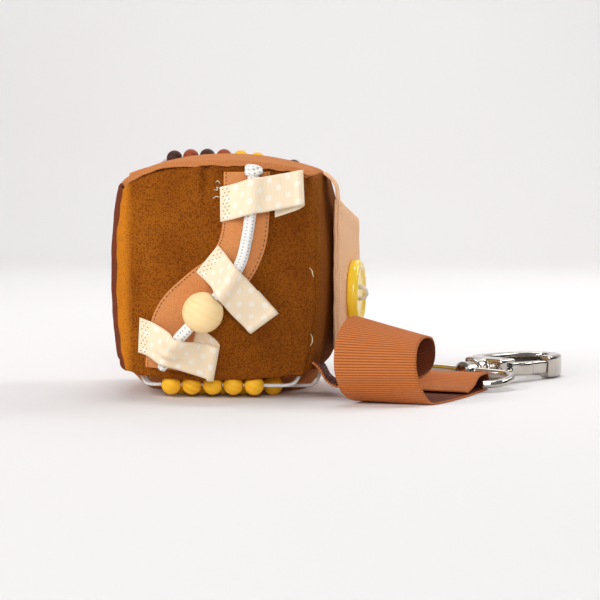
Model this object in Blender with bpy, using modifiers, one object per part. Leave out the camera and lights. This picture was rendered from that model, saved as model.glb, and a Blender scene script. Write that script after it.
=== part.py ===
"""Soft activity cube on a clip strap: a stuffed cube with a bead road, bead strands and a button flap."""

import math

import bmesh
import bpy
import numpy as np
from mathutils import Matrix, Vector

mm = 0.001

# Stuffed cube
cube_half = 41 * mm
left_half = 43.5 * mm
right_half = 42 * mm
top_half = 46 * mm
bottom_half = 43.5 * mm
resting_drop = 3.5 * mm
sag_depth = 11 * mm
sag_centre_y = 5 * mm
sag_reach = 23 * mm
stuffing_sag_share = 0.75
bead_dent = 5 * mm
bead_dent_y = -27 * mm
bead_dent_width = 8 * mm
panel_thickness = 1.2 * mm
seam_gap = 0.35 * mm
piece_gap = 0.3 * mm
edge_round_share = 0.3
top_drop_shares = (0.14, 0.07)
bottom_drop_shares = (0.03, 0.09)
panel_cells = 10
road_cells = 30

# Road sewn on the front, in shares of the cube's half width
road_half_width = 8.6 * mm
road_thickness = 1.2 * mm
road_shares = (
    (0.285, 0.93),
    (0.285, 0.62),
    (0.255, 0.30),
    (0.12, 0.03),
    (-0.11, -0.15),
    (-0.33, -0.36),
    (-0.42, -0.60),
    (-0.44, -0.80),
)

# Ribbon tunnels over the road
ribbon_width = 12.7 * mm
ribbon_thickness = 0.7 * mm
ribbon_fold = 1.6 * mm

# Each ribbon: where its sewn end is in shares of the cube's half width, its turn in degrees, its reach and
# the place where its under layer ends in shares of its width, and how far that layer veers
tunnel_shares = {
    "ribbon_loop_top": ((0.050, 0.632), 11.9, 2.457, 1.64, -0.2),
    "ribbon_loop_middle": ((-0.064, 0.147), -48.6, 2.496, 1.67, 0.0),
    "ribbon_loop_bottom": ((-0.700, -0.550), -19.9, 2.425, 1.80, 0.28),
}

# The large bead squeezes the ribbon above it
squeezed_ribbon = "ribbon_loop_middle"
squeeze = 1.6 * mm
squeeze_place = 10.5 * mm
squeeze_reach = 6 * mm

# Braided cord and its large bead
cord_diameter = 4.4 * mm
knot_share = 1.32
road_bead_diameter = 15.2 * mm
bead_clearance = 0.3 * mm
cord_top_shares = (
    (0.355, 0.985),
    (0.35, 0.90),
    (0.34, 0.72),
    (0.325, 0.54),
    (0.295, 0.33),
    (0.245, 0.12),
    (0.165, -0.02),
)
cord_end_shares = (
    (-0.375, -0.665),
    (-0.435, -0.755),
    (-0.49, -0.86),
)
bead_shares = (-0.078, -0.312)
bead_run_before = 9.5 * mm
bead_run_after = 13 * mm
bead_run_shares = (-0.675, -0.738)

# Bead strands
bead_diameter = 7.6 * mm
top_bead_diameter = 6.6 * mm
bead_pitch_gap = 0.3 * mm
string_diameter = 1.3 * mm
front_row_y = -32.5 * mm
front_row_z = 4.9 * mm
front_row_x = -17.9 * mm
front_row_count = 5
rear_row_y = -22 * mm
rear_row_x = -15.5 * mm
rear_row_count = 4
rear_single_x = 19.8 * mm
top_row_shares = (0.966, 0.976)
top_row_x = -27.5 * mm
top_row_count = 6
top_arc_x = -13.7 * mm
top_arc_radius = 125 * mm
top_arc_lean = math.radians(29)
top_single_x = 21.8 * mm
strand_half_run = 27 * mm
strand_steps = 16

# Flap with its button
flap_width = 48 * mm
flap_height = 59 * mm
flap_thickness = 3.4 * mm
flap_near_y = -20 * mm
flap_inner_x = 42.4 * mm
flap_top_z = 75 * mm
flap_splay = math.radians(5.5)
flap_sag = math.radians(9.5)
tab_width = 13 * mm
tab_thickness = 0.9 * mm
tab_root_share = 0.965
tab_shares = ((-0.05, -0.02), (0.3, 0.13), (0.62, 0.29), (0.88, 0.53), (1.0, 1.0))
button_diameter = 26 * mm
button_thickness = 4.2 * mm
button_rim = 2.2 * mm
button_dish = 0.9 * mm
button_hole_pitch = 4.6 * mm
button_hole_diameter = 2.2 * mm
button_z = 38 * mm
button_y = 3 * mm
thread_diameter = 1.5 * mm
thread_stand = 3.2 * mm

# Grosgrain strap
strap_width = 30 * mm
strap_thickness = 0.9 * mm
roll_height = 29 * mm
strap_shares = (
    (2.663, -0.590, 0.070, 0.956, -0.293, 0.0),
    (2.740, -0.337, 0.125, 0.956, -0.293, 0.0),
    (2.800, -0.143, 0.215, 0.956, -0.293, 0.0),
    (2.860, 0.047, 0.236, 0.956, -0.293, 0.0),
    (2.906, 0.203, 0.230, 0.956, -0.293, 0.0),
    (2.929, 0.280, 0.198, 0.956, -0.293, 0.0),
    (2.938, 0.310, 0.124, 0.956, -0.293, 0.0),
    (2.929, 0.280, 0.050, 0.956, -0.293, 0.0),
    (2.906, 0.203, 0.018, 0.956, -0.293, 0.0),
    (2.860, 0.047, 0.017, 0.956, -0.293, 0.0),
    (2.663, -0.590, 0.017, 0.956, -0.293, 0.0),
    (2.483, -1.050, 0.017, 0.956, -0.293, 0.0),
    (2.317, -1.400, 0.017, 0.970, -0.240, 0.0),
    (2.183, -1.617, 0.055, 0.990, -0.120, -0.03),
    (2.077, -1.767, 0.225, 1.000, 0.000, 0.0),
    (2.017, -1.850, 0.485, 1.000, 0.000, 0.0),
    (2.027, -1.750, 0.760, 0.990, 0.050, -0.06),
    (2.105, -1.483, 0.929, 0.968, 0.138, -0.20),
    (2.223, -1.188, 0.940, 0.935, 0.217, -0.285),
    (2.260, -0.970, 0.780, 0.920, 0.160, -0.31),
    (2.210, -0.880, 0.550, 0.945, 0.060, -0.28),
    (2.017, -0.820, 0.335, 0.760, -0.600, -0.18),
    (1.750, -0.740, 0.185, 0.300, -0.950, -0.08),
    (1.500, -0.700, 0.160, 0.050, -1.000, 0.02),
    (1.365, -0.690, 0.235, 0.020, -1.000, 0.03),
    (1.287, -0.690, 0.374, 0.020, -1.000, 0.03),
)
strap_cells = 92

# Swivel snap hook
ring_length = 47 * mm
ring_depth = 23 * mm
ring_wire = 3.2 * mm
ring_corner = 7.5 * mm
ring_x = 89.7 * mm
ring_y = 11.5 * mm
ring_near_z = 3.4 * mm
ring_far_z = 5.9 * mm
ring_heading = math.radians(63)
ring_roll = math.radians(-2)
hook_heading = math.radians(54)
hook_length = 60 * mm
hook_thickness = 9.4 * mm
hook_bar = 5.6 * mm
hook_edge = 0.9 * mm
boss_diameter = 7.2 * mm
boss_length = 4.6 * mm
pin_diameter = 3 * mm
pin_head_diameter = 7.4 * mm
pin_head_thickness = 2.6 * mm
neck_diameter = 8.4 * mm
collar_diameter = 9.4 * mm
neck_length = 6.4 * mm
base_length = 10.5 * mm
base_near = 10.9 * mm
base_far = 8 * mm
hook_shares = (
    (0.235, 0.060),
    (0.300, 0.135),
    (0.400, 0.172),
    (0.540, 0.182),
    (0.700, 0.172),
    (0.830, 0.125),
    (0.915, 0.045),
    (0.953, -0.005),
    (0.930, -0.065),
    (0.860, -0.125),
    (0.770, -0.160),
    (0.665, -0.168),
)
gate_width = 4 * mm
gate_thickness = 5.4 * mm
gate_pivot_u = 15.2 * mm
gate_pivot_v = -7.4 * mm
gate_hub_diameter = 5.6 * mm
gate_pin_diameter = 2 * mm
slot_side_gap = 0.3 * mm
slot_inner_v = -2.2 * mm
gate_nub = 1.6 * mm
spring_wire = 0.45 * mm
spring_turns = 2
spring_step = 0.9 * mm

overrun = 2 * mm
round_steps = 20
bead_steps = 12

centre_z = bottom_half + resting_drop


def clear_scene():
    for old in list(bpy.data.objects):
        bpy.data.objects.remove(old, do_unlink=True)


def new_collection(name):
    made = bpy.data.collections.new(name)
    bpy.context.scene.collection.children.link(made)
    return made


def new_material(name, colour, roughness, metallic=0):
    made = bpy.data.materials.new(name)
    made.use_nodes = True
    shader = made.node_tree.nodes["Principled BSDF"]
    shader.inputs["Base Color"].default_value = (*colour, 1)
    shader.inputs["Roughness"].default_value = roughness
    shader.inputs["Metallic"].default_value = metallic
    made.diffuse_color = (*colour, 1)
    return made


def add_object(name, data, material, place=None):
    made = bpy.data.objects.new(name, data)
    parts.objects.link(made)
    if not data.materials:
        data.materials.append(material)
    if place is not None:
        made.matrix_world = place
    return made


def add_pivot(name, place):
    """An empty on a joint's axis, to carry the pieces that turn about it."""
    made = bpy.data.objects.new(name, None)
    parts.objects.link(made)
    made.matrix_world = place
    made.empty_display_size = cube_half / 4
    bpy.context.view_layer.update()
    return made


def hang_on(pivot, names):
    bpy.context.view_layer.update()
    for name in names:
        piece = bpy.data.objects[name]
        place = piece.matrix_world.copy()
        piece.parent = pivot
        piece.matrix_parent_inverse = pivot.matrix_world.inverted()
        piece.matrix_world = place


def mesh_from(bm, name):
    bmesh.ops.recalc_face_normals(bm, faces=bm.faces)
    data = bpy.data.meshes.new(name)
    bm.to_mesh(data)
    bm.free()
    data.shade_smooth()
    return data


def add_cutter(name, data, place):
    made = bpy.data.objects.new(name, data)
    cutters.objects.link(made)
    made.matrix_world = place
    made.hide_render = True
    made.display_type = "WIRE"
    return made


def boolean(target, other, operation):
    step = target.modifiers.new(f"{operation.lower()}_{other.name}", "BOOLEAN")
    step.object = other
    step.operation = operation
    step.solver = "EXACT"


def smooth_points(points, count):
    """Evenly numbered points on a curve through the given ones."""
    table = np.array(points, float)
    table = np.vstack([2 * table[0] - table[1], table, 2 * table[-1] - table[-2]])
    spans = len(table) - 3
    made = []
    for step in range(count + 1):
        place = min(spans * step / count, spans - 1e-9)
        first = int(place)
        t = place - first
        a, b, c, d = table[first : first + 4]
        made.append(
            0.5 * (2 * b + (c - a) * t + (2 * a - 5 * b + 4 * c - d) * t**2 + (3 * b - a - 3 * c + d) * t**3)
        )
    return made


def skin_point(q, sag_share=1):
    """The cube's outer skin at a point q of a unit cube's surface."""
    pull = 1 - edge_round_share + edge_round_share / q.length
    side = 0 if q.x < 0 else 1
    x = (left_half, right_half)[side] * q.x * pull
    y = cube_half * q.y * pull
    if q.z >= 0:
        z = top_half * q.z * pull * (1 - top_drop_shares[side] * abs(q.x) ** 3)
    else:
        z = bottom_half * q.z * pull * (1 - bottom_drop_shares[side] * abs(q.x) ** 5)
    if q.z <= -0.98:
        along = max(0, 1 - q.x**4)
        z += bead_dent * along * math.exp(-(((y - bead_dent_y) / bead_dent_width) ** 2))
        across = max(0, 1 - ((y - sag_centre_y) / sag_reach) ** 2) ** 2
        z -= max(0, min(sag_depth * across * along, z + centre_z)) * sag_share
    return Vector((x, y, z))


FACES = {
    "front": lambda a, b: Vector((a, -1, b)),
    "back": lambda a, b: Vector((-a, 1, b)),
    "left": lambda a, b: Vector((-1, -a, b)),
    "right": lambda a, b: Vector((1, a, b)),
    "top": lambda a, b: Vector((a, b, 1)),
    "bottom": lambda a, b: Vector((a, -b, -1)),
}


def panel(face, material):
    """A crowned fabric panel whose rims lie on the mitre planes of its seams."""
    share = 1 - seam_gap / cube_half
    bm = bmesh.new()
    bmesh.ops.create_grid(bm, x_segments=panel_cells, y_segments=panel_cells, size=share)
    flat = {vertex: FACES[face](vertex.co.x, vertex.co.y) for vertex in bm.verts}
    copy = bmesh.ops.duplicate(bm, geom=bm.verts[:] + bm.edges[:] + bm.faces[:])
    inner_share = 1 - panel_thickness / cube_half
    for vertex, q in flat.items():
        vertex.co = skin_point(q)
        copy["vert_map"][vertex].co = skin_point(q) * inner_share
    bmesh.ops.reverse_faces(bm, faces=[f for f in copy["geom"] if isinstance(f, bmesh.types.BMFace)])
    rim = [edge for edge in bm.edges if edge.is_boundary]
    bmesh.ops.bridge_loops(bm, edges=rim)
    bmesh.ops.translate(bm, verts=bm.verts, vec=(0, 0, centre_z))
    return add_object(f"{face}_panel", mesh_from(bm, f"{face}_panel"), material)


def stuffing(material):
    bm = bmesh.new()
    bmesh.ops.create_cube(bm, size=2)
    bmesh.ops.subdivide_edges(bm, edges=bm.edges, cuts=panel_cells - 1, use_grid_fill=True)
    share = 1 - (panel_thickness + piece_gap * 3) / cube_half
    for vertex in bm.verts:
        vertex.co = skin_point(vertex.co, stuffing_sag_share) * share
    bmesh.ops.translate(bm, verts=bm.verts, vec=(0, 0, centre_z))
    return add_object("stuffing", mesh_from(bm, "stuffing"), material)


def on_face(face, a, b, lift=0):
    """The point of a face whose two flat coordinates are a and b, lifted off the skin."""
    pick = {"front": (0, 2), "top": (0, 1)}[face]

    def seek(first, second):
        u, v = first / cube_half, second / cube_half
        for _ in range(14):
            found = skin_point(FACES[face](u, v))
            u += (first - found[pick[0]]) / cube_half
            v += (second - found[pick[1]]) / cube_half
        return found

    step = cube_half / 100
    here = seek(a, b)
    slope = (seek(a + step, b) - seek(a - step, b)).cross(seek(a, b + step) - seek(a, b - step))
    return here + slope.normalized() * lift + Vector((0, 0, centre_z))


def on_front(shares, lift):
    return on_face("front", shares[0] * cube_half, shares[1] * cube_half, lift)


def sheet(name, across, along, place, thickness, material):
    """A bent sheet: a grid whose points are placed by a rule, given its thickness both ways."""
    bm = bmesh.new()
    bmesh.ops.create_grid(bm, x_segments=across, y_segments=along, size=1)
    for vertex in bm.verts:
        vertex.co = place(vertex.co.x, (vertex.co.y + 1) / 2)
    made = add_object(name, mesh_from(bm, name), material)
    wall = made.modifiers.new("thickness", "SOLIDIFY")
    wall.thickness = thickness
    wall.offset = 0
    wall.use_even_offset = True
    return made


def tube(name, points, diameter, material, radii=None, sides_step=2):
    data = bpy.data.curves.new(name, "CURVE")
    data.dimensions = "3D"
    data.bevel_depth = diameter / 2
    data.bevel_resolution = sides_step
    data.use_fill_caps = True
    spline = data.splines.new("POLY")
    spline.points.add(len(points) - 1)
    for index, point in enumerate(points):
        spline.points[index].co = (*point, 1)
        if radii:
            spline.points[index].radius = radii[index]
    return add_object(name, data, material)


def turned(name, profile, steps, material, place):
    """A turned piece: its closed profile, given as radius and height, spun about Z."""
    bm = bmesh.new()
    ring = [bm.verts.new((radius, 0, height)) for radius, height in profile]
    for first, second in zip(ring, ring[1:] + ring[:1]):
        if first.co.x > 0 or second.co.x > 0:
            bm.edges.new((first, second))
    data = bpy.data.meshes.new(name)
    bm.to_mesh(data)
    bm.free()
    made = add_object(name, data, material, place)
    spin = made.modifiers.new("turn", "SCREW")
    spin.steps = steps
    spin.render_steps = steps
    spin.use_merge_vertices = True
    spin.merge_threshold = 0.00001
    spin.use_smooth_shade = True
    return made


def road_place(side, along):
    centre = smooth_points(road_shares, 60)
    first = min(int(along * 60), 59)
    t = along * 60 - first
    here = centre[first] * (1 - t) + centre[first + 1] * t
    way = centre[first + 1] - centre[first]
    way = way / np.linalg.norm(way)
    shares = (
        here[0] + way[1] * side * road_half_width / cube_half,
        here[1] - way[0] * side * road_half_width / cube_half,
    )
    return on_front(shares, piece_gap + road_thickness / 2)


road_lift = piece_gap + road_thickness
cord_lift = road_lift + piece_gap * 1.5 + cord_diameter / 2
bead_lift = road_lift + piece_gap + road_bead_diameter / 2
ribbon_base = road_lift + piece_gap + ribbon_thickness / 2
ribbon_back = piece_gap + ribbon_thickness / 2
ribbon_face = ribbon_back + 2 * ribbon_fold


def cord_crossing(start, way, side, across, reach):
    """How far along a ribbon the cord passes under it, and its greatest lift there."""
    found = []
    for first, second in zip(cord_flat, cord_flat[1:]):
        place = [Vector(point[:2]) - start for point in (first, second)]
        offsets = [point.dot(side) - across for point in place]
        if offsets[0] * offsets[1] <= 0 and offsets[0] != offsets[1]:
            t = offsets[0] / (offsets[0] - offsets[1])
            along = place[0].lerp(place[1], t).dot(way)
            if 0 < along < reach:
                found.append((along, max(first[2], second[2])))
    return found[0]


def ribbon_tunnel(name, material):
    start_shares, turn, reach_share, back_share, veer = tunnel_shares[name]
    start = Vector(start_shares) * cube_half
    reach, back = reach_share * ribbon_width, back_share * ribbon_width
    turn = math.radians(turn)
    way = Vector((math.cos(turn), math.sin(turn)))
    side = Vector((-way.y, way.x))
    shoulder = cord_diameter
    steps = 30
    front = steps * 8 // 11

    def profile(across):
        crossing, lift = cord_crossing(start, way, side, across, reach)
        peak = lift + cord_diameter / 2 + piece_gap * 2 + ribbon_thickness
        rows = (
            (0, ribbon_base),
            (crossing * 0.3, ribbon_base),
            (crossing - shoulder, (ribbon_base + peak) / 2),
            (crossing - shoulder / 3, peak),
            (crossing + shoulder / 3, peak),
            (crossing + shoulder * 1.2, ribbon_face + (peak - ribbon_face) * 0.5),
            (reach - ribbon_fold * 3, ribbon_face),
            (reach - ribbon_fold, ribbon_face),
            (reach, (ribbon_face + ribbon_back) / 2),
            (reach - ribbon_fold, ribbon_back),
            (reach - ribbon_fold * 3, ribbon_back),
            (back, ribbon_back),
        )
        line = smooth_points(rows, steps)
        turn_row = steps * 7 // 11
        return [(p[0], max(p[1], ribbon_base if i < turn_row else ribbon_back)) for i, p in enumerate(line)]

    profiles = {across: profile(across * ribbon_width / 2) for across in (-1, -0.5, 0, 0.5, 1)}

    def place(across, along):
        line = profiles[min(profiles, key=lambda known: abs(known - across))]
        row = round(along * steps)
        far, lift = line[row]
        aside = across * ribbon_width / 2
        if row > front:
            aside += veer * (line[front][0] - far)
        elif across < 0 and name == squeezed_ribbon:
            aside += squeeze * math.exp(-(((far - squeeze_place) / squeeze_reach) ** 2)) * -across
        flat = start + way * far + side * aside
        return on_face("front", flat.x, flat.y, lift)

    return sheet(name, 4, steps, place, ribbon_thickness, material)


def bead_run():
    """The middle of the large bead and the way along which it slides."""
    middle = on_front(bead_shares, bead_lift)
    ahead = on_front(
        (bead_shares[0] + bead_run_shares[0] * 0.1, bead_shares[1] + bead_run_shares[1] * 0.1),
        bead_lift,
    )
    way = (ahead - middle).normalized()
    way.y = 0
    return middle, way.normalized()


def front_place(point):
    """The flat place on the front and the lift of a point in space."""
    flat = Vector((point.x, point.z - centre_z))
    for _ in range(5):
        base = on_face("front", flat.x, flat.y)
        normal = on_face("front", flat.x, flat.y, cube_half) - base
        normal.normalize()
        lift = (point - base).dot(normal)
        flat = Vector((point.x - normal.x * lift, point.z - centre_z - normal.z * lift))
    return flat.x, flat.y, lift


def cord_route():
    """The cord's middle line: on the road, off it to the bead's straight run, and down again."""
    middle, way = bead_run()
    rise = bead_lift - cord_lift
    lifts = [cord_lift] * (len(cord_top_shares) - 2) + [cord_lift + rise * 0.35, cord_lift + rise * 0.85]
    upper = [on_front(shares, lift) for shares, lift in zip(cord_top_shares, lifts)]
    run = [middle - way * bead_run_before, middle, middle + way * bead_run_after]
    lifts = [cord_lift + rise * 0.6, cord_lift, cord_lift]
    lower = [on_front(shares, lift) for shares, lift in zip(cord_end_shares, lifts)]
    points = []
    for point in smooth_points([tuple(p) for p in upper + run + lower], 48):
        here = Vector(point)
        along = (here - middle).dot(way)
        if -bead_run_before < along < bead_run_after and (here - middle).length < bead_run_after * 1.2:
            here = middle + way * along
        points.append(here)
    return points


def road_cord(material):
    radii = [1.0] * len(cord_points)
    for index, share in enumerate((0.75, knot_share, knot_share, 1.1)):
        radii[index] = share
    return tube("road_cord", cord_points, cord_diameter, material, radii)


def bead_profile(diameter, bore):
    radius = diameter / 2
    least = math.asin(bore / diameter)
    count = 6
    arc = []
    for index in range(count + 1):
        angle = least + (math.pi - 2 * least) * index / count
        arc.append((radius * math.sin(angle), radius * math.cos(angle)))
    return arc


def bead(name, diameter, bore, centre, way, material, steps=bead_steps):
    turn = Vector(way).to_track_quat("Z", "X").to_matrix().to_4x4()
    place = Matrix.Translation(centre) @ turn
    return turned(name, bead_profile(diameter, bore), steps, material, place)


def strand(name, row, ends, material):
    """A string on a straight run through its beads, led up to a seam at each end."""
    points = [ends[0], ends[0].lerp(row[0], 0.75), *row, ends[1].lerp(row[-1], 0.75), ends[1]]
    return tube(name, points, string_diameter, material)


def bead_strands():
    bore = string_diameter + 2 * bead_clearance
    pitch = bead_diameter + bead_pitch_gap
    end_x = cube_half * 0.8
    for number in range(front_row_count):
        middle = (front_row_x + number * pitch, front_row_y, front_row_z)
        bead(f"front_bead_{number + 1}", bead_diameter, bore, middle, (1, 0, 0), yellow_wood)
    ends = [Vector((sign * end_x, front_row_y, seam_height(sign * end_x, front_row_y))) for sign in (-1, 1)]
    run = [Vector((sign * strand_half_run, front_row_y, front_row_z)) for sign in (-1, 1)]
    strand("front_bead_string", run, ends, white_cord)

    rear_z = bead_diameter / 2
    for number in range(rear_row_count):
        middle = (rear_row_x + number * pitch, rear_row_y, rear_z)
        bead(f"rear_bead_{number + 1}", bead_diameter, bore, middle, (1, 0, 0), yellow_wood)
    middle = (rear_single_x, rear_row_y, rear_z)
    bead(f"rear_bead_{rear_row_count + 1}", bead_diameter, bore, middle, (1, 0, 0), yellow_wood)
    ends = [Vector((sign * end_x, rear_row_y, seam_height(sign * end_x, rear_row_y))) for sign in (-1, 1)]
    run = [Vector((sign * strand_half_run, rear_row_y, rear_z)) for sign in (-1, 1)]
    strand("rear_bead_string", run, ends, white_cord)

    pitch = top_bead_diameter + bead_pitch_gap
    colours = (dark_wood, rust_wood, dark_wood, rust_wood, yellow_wood, yellow_wood, dark_wood)
    places = [top_row_x + number * pitch for number in range(top_row_count)] + [top_single_x]
    for number, (x, colour) in enumerate(zip(places, colours)):
        middle, way = top_arc(x)
        bead(f"top_bead_{number + 1}", top_bead_diameter, bore, middle, way, colour)
    beside = Vector((0, string_diameter * 0.7, centre_z))
    ends = [skin_point(Vector((sign * 0.93, 1, 1))) + beside for sign in (-1, 1)]
    span = (top_row_x - top_bead_diameter * 0.6, top_single_x + top_bead_diameter)
    shares = [step / strand_steps for step in range(strand_steps + 1)]
    row = [top_arc(span[0] + (span[1] - span[0]) * share)[0] for share in shares]
    tube("top_bead_string", [ends[0], *row, ends[1]], string_diameter, white_cord)


def top_arc(x):
    """A place on the shallow arc in which the upper string lies, and its way there."""
    angle = math.asin((x - top_arc_x) / top_arc_radius)
    drop = top_arc_radius * (1 - math.cos(angle))
    down = Vector((0, math.sin(top_arc_lean), -math.cos(top_arc_lean)))
    crown = Vector((x, cube_half * top_row_shares[0], centre_z + top_half * top_row_shares[1]))
    middle = crown + down * drop
    return middle, Vector((math.cos(angle), 0, 0)) + down * math.sin(angle)


def seam_height(x, y):
    """Just under the bottom panel at this place."""
    u, v = x / cube_half, y / cube_half
    for _ in range(14):
        found = skin_point(Vector((u, v, -1)))
        u += (x - found.x) / cube_half
        v += (y - found.y) / cube_half
    return found.z + centre_z - piece_gap - string_diameter / 2


def flap_frame():
    """The flap's own frame: X out of its face, Y along its width, Z up, from the inner near top corner."""
    corner = Vector((flap_inner_x, flap_near_y, flap_top_z))
    return Matrix.Translation(corner) @ Matrix.Rotation(-flap_splay, 4, "Z")


def flap(material):
    """A padded panel: a closed pillow, drawn in along its sewn edge."""
    bm = bmesh.new()
    bmesh.ops.create_cube(bm, size=1)
    bmesh.ops.subdivide_edges(bm, edges=bm.edges, cuts=5, use_grid_fill=True)
    for vertex in bm.verts:
        y, z = vertex.co.y * 2, vertex.co.z * 2
        edge = max(abs(y), abs(z)) ** 6
        depth = flap_thickness * (1 - 0.35 * edge)
        height = vertex.co.z - 0.5
        vertex.co.x = flap_thickness / 2 + vertex.co.x * depth
        vertex.co.y = (vertex.co.y + 0.5) * flap_width
        vertex.co.z = height * flap_height - math.tan(flap_sag) * vertex.co.y * (0.5 + z / 2)
    return add_object("flap", mesh_from(bm, "flap"), material, flap_frame())


def flap_hinge():
    """Where the tab leaves the top right seam."""
    root = skin_point(Vector((1, 0, tab_root_share)))
    middle_y = flap_near_y + tab_width / 2
    return Vector((root.x + piece_gap + tab_thickness / 2, middle_y, root.z + centre_z))


def flap_tab(material):
    """The strip that carries the flap: out of the top right seam, over, and down to the flap's top edge."""
    root = flap_hinge()
    end = Vector((flap_inner_x + flap_thickness / 2, 0, flap_top_z + piece_gap))
    span = end - root
    steps = 14
    path = smooth_points([(root.x + a * span.x, root.z + b * span.z) for a, b in tab_shares], steps)

    def place(across, along):
        x, z = path[round(along * steps)]
        return Vector((x, root.y + across * tab_width / 2, z))

    return sheet("flap_tab", 2, steps, place, tab_thickness, material)


def button(material):
    """A turned button: flat back, raised rim, dished face and two thread holes."""
    radius = button_diameter / 2
    back = -button_thickness / 2
    face = button_thickness / 2
    edge = button_thickness * 0.3
    profile = (
        (0, face - button_dish),
        (radius - button_rim * 1.6, face - button_dish),
        (radius - button_rim, face),
        (radius - edge, face),
        (radius, face - edge),
        (radius, back + edge),
        (radius - edge, back),
        (0, back),
    )
    out = flap_frame().to_3x3() @ Vector((1, 0, 0))
    centre = flap_frame() @ Vector(
        (flap_thickness + piece_gap + button_thickness / 2, button_y - flap_near_y, button_z - flap_top_z)
    )
    turn = out.to_track_quat("Z", "X").to_matrix().to_4x4()
    place = Matrix.Translation(centre) @ turn
    made = turned("button", profile, 32, material, place)
    for sign in (-1, 1):
        bm = bmesh.new()
        bmesh.ops.create_cone(
            bm,
            cap_ends=True,
            segments=12,
            radius1=button_hole_diameter / 2,
            radius2=button_hole_diameter / 2,
            depth=button_thickness + 2 * overrun,
        )
        offset = Matrix.Translation(Vector((sign * button_hole_pitch / 2, 0, 0)))
        boolean(made, add_cutter(f"button_hole_{sign}", mesh_from(bm, "hole"), place @ offset), "DIFFERENCE")
    points = []
    back_z = back + thread_diameter * 0.1
    for index in range(17):
        angle = math.pi * index / 16
        points.append(
            place
            @ Vector(
                (
                    -button_hole_pitch / 2 * math.cos(angle),
                    thread_stand * 0.2 * math.sin(angle),
                    face - button_dish - piece_gap + thread_stand * math.sin(angle),
                )
            )
        )
    legs = [place @ Vector((sign * button_hole_pitch / 2, 0, back_z)) for sign in (-1, 1)]
    tube("button_thread", [legs[0], *points, legs[1]], thread_diameter, white_cord)
    return made


def strap_place(across, along):
    row = strap_rows[round(along * strap_cells)]
    side = Vector(row[3:]).normalized() * strap_width / 2
    z = max(row[2] * roll_height, strap_thickness * 0.55)
    return Vector((row[0] * strap_width, row[1] * strap_width, z)) + side * across


def ring_frame():
    """The ring's frame at its middle: X across the bars, towards the hook; Y along them; Z up."""
    rise = ring_far_z - ring_near_z
    pitch = math.asin(rise / (ring_depth - ring_wire))
    centre = Vector((ring_x, ring_y, (ring_far_z + ring_near_z) / 2))
    turn = Matrix.Rotation(ring_heading, 4, "Z") @ Matrix.Rotation(-pitch, 4, "Y")
    return Matrix.Translation(centre) @ turn @ Matrix.Rotation(-ring_roll, 4, "X")


def hook_frame():
    """The hook's frame at the ring's far bar: X along the swivel, Y to the far side, Z up."""
    start = ring_frame() @ Vector(((ring_depth - ring_wire) / 2, 0, 0))
    drop = math.asin((start.z - hook_thickness / 2) / hook_length)
    turn = Matrix.Rotation(hook_heading, 4, "Z") @ Matrix.Rotation(drop, 4, "Y")
    return Matrix.Translation(start) @ turn


def as_mesh(obj):
    """A curve object made a closed mesh, in its own place."""
    graph = bpy.context.evaluated_depsgraph_get()
    bpy.context.view_layer.update()
    data = bpy.data.meshes.new_from_object(obj.evaluated_get(graph))
    bm = bmesh.new()
    bm.from_mesh(data)
    bmesh.ops.remove_doubles(bm, verts=bm.verts, dist=0.000001)
    bmesh.ops.recalc_face_normals(bm, faces=bm.faces)
    bm.to_mesh(data)
    bm.free()
    name, place, material = obj.name, obj.matrix_world.copy(), obj.data.materials[0]
    bpy.data.objects.remove(obj, do_unlink=True)
    return add_object(name, data, material, place)


def lay_along_x(radius_from, radius_to, depth, segments=round_steps):
    """A cylinder or cone whose axis is X, from the origin outwards."""
    bm = bmesh.new()
    bmesh.ops.create_cone(
        bm, cap_ends=True, segments=segments, radius1=radius_from, radius2=radius_to, depth=depth
    )
    bmesh.ops.translate(bm, verts=bm.verts, vec=(0, 0, depth / 2))
    bmesh.ops.rotate(bm, verts=bm.verts, matrix=Matrix.Rotation(math.pi / 2, 3, "Y"))
    return bm


def hook_ring(material):
    frame = ring_frame()
    half_depth = (ring_depth - ring_wire) / 2
    half_length = (ring_length - ring_wire) / 2
    corner_steps = 5
    points = []
    for quarter in range(4):
        sign_x = 1 if quarter in (0, 3) else -1
        sign_y = 1 if quarter in (0, 1) else -1
        for step in range(corner_steps + 1):
            angle = math.pi / 2 * (quarter + step / corner_steps)
            x = sign_x * (half_depth - ring_corner) + ring_corner * math.cos(angle)
            y = sign_y * (half_length - ring_corner) + ring_corner * math.sin(angle)
            points.append(frame @ Vector((x, y, 0)))
    data = bpy.data.curves.new("hook_ring", "CURVE")
    data.dimensions = "3D"
    data.bevel_depth = ring_wire / 2
    data.bevel_resolution = 2
    spline = data.splines.new("POLY")
    spline.points.add(len(points) - 1)
    spline.use_cyclic_u = True
    for index, point in enumerate(points):
        spline.points[index].co = (*point, 1)
    ring = as_mesh(add_object("hook_ring", data, material))
    axis = hook_frame()
    boss = lay_along_x(boss_diameter / 2, boss_diameter / 2, boss_length)
    start = Matrix.Translation(Vector((-boss_length / 2, 0, 0)))
    boolean(ring, add_cutter("ring_boss", mesh_from(boss, "ring_boss"), axis @ start), "UNION")
    hole = lay_along_x(pin_diameter / 2 + piece_gap, pin_diameter / 2 + piece_gap, boss_length + 2 * overrun)
    start = Matrix.Translation(Vector((-boss_length / 2 - overrun, 0, 0)))
    boolean(ring, add_cutter("ring_hole", mesh_from(hole, "ring_hole"), axis @ start), "DIFFERENCE")
    return ring


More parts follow.
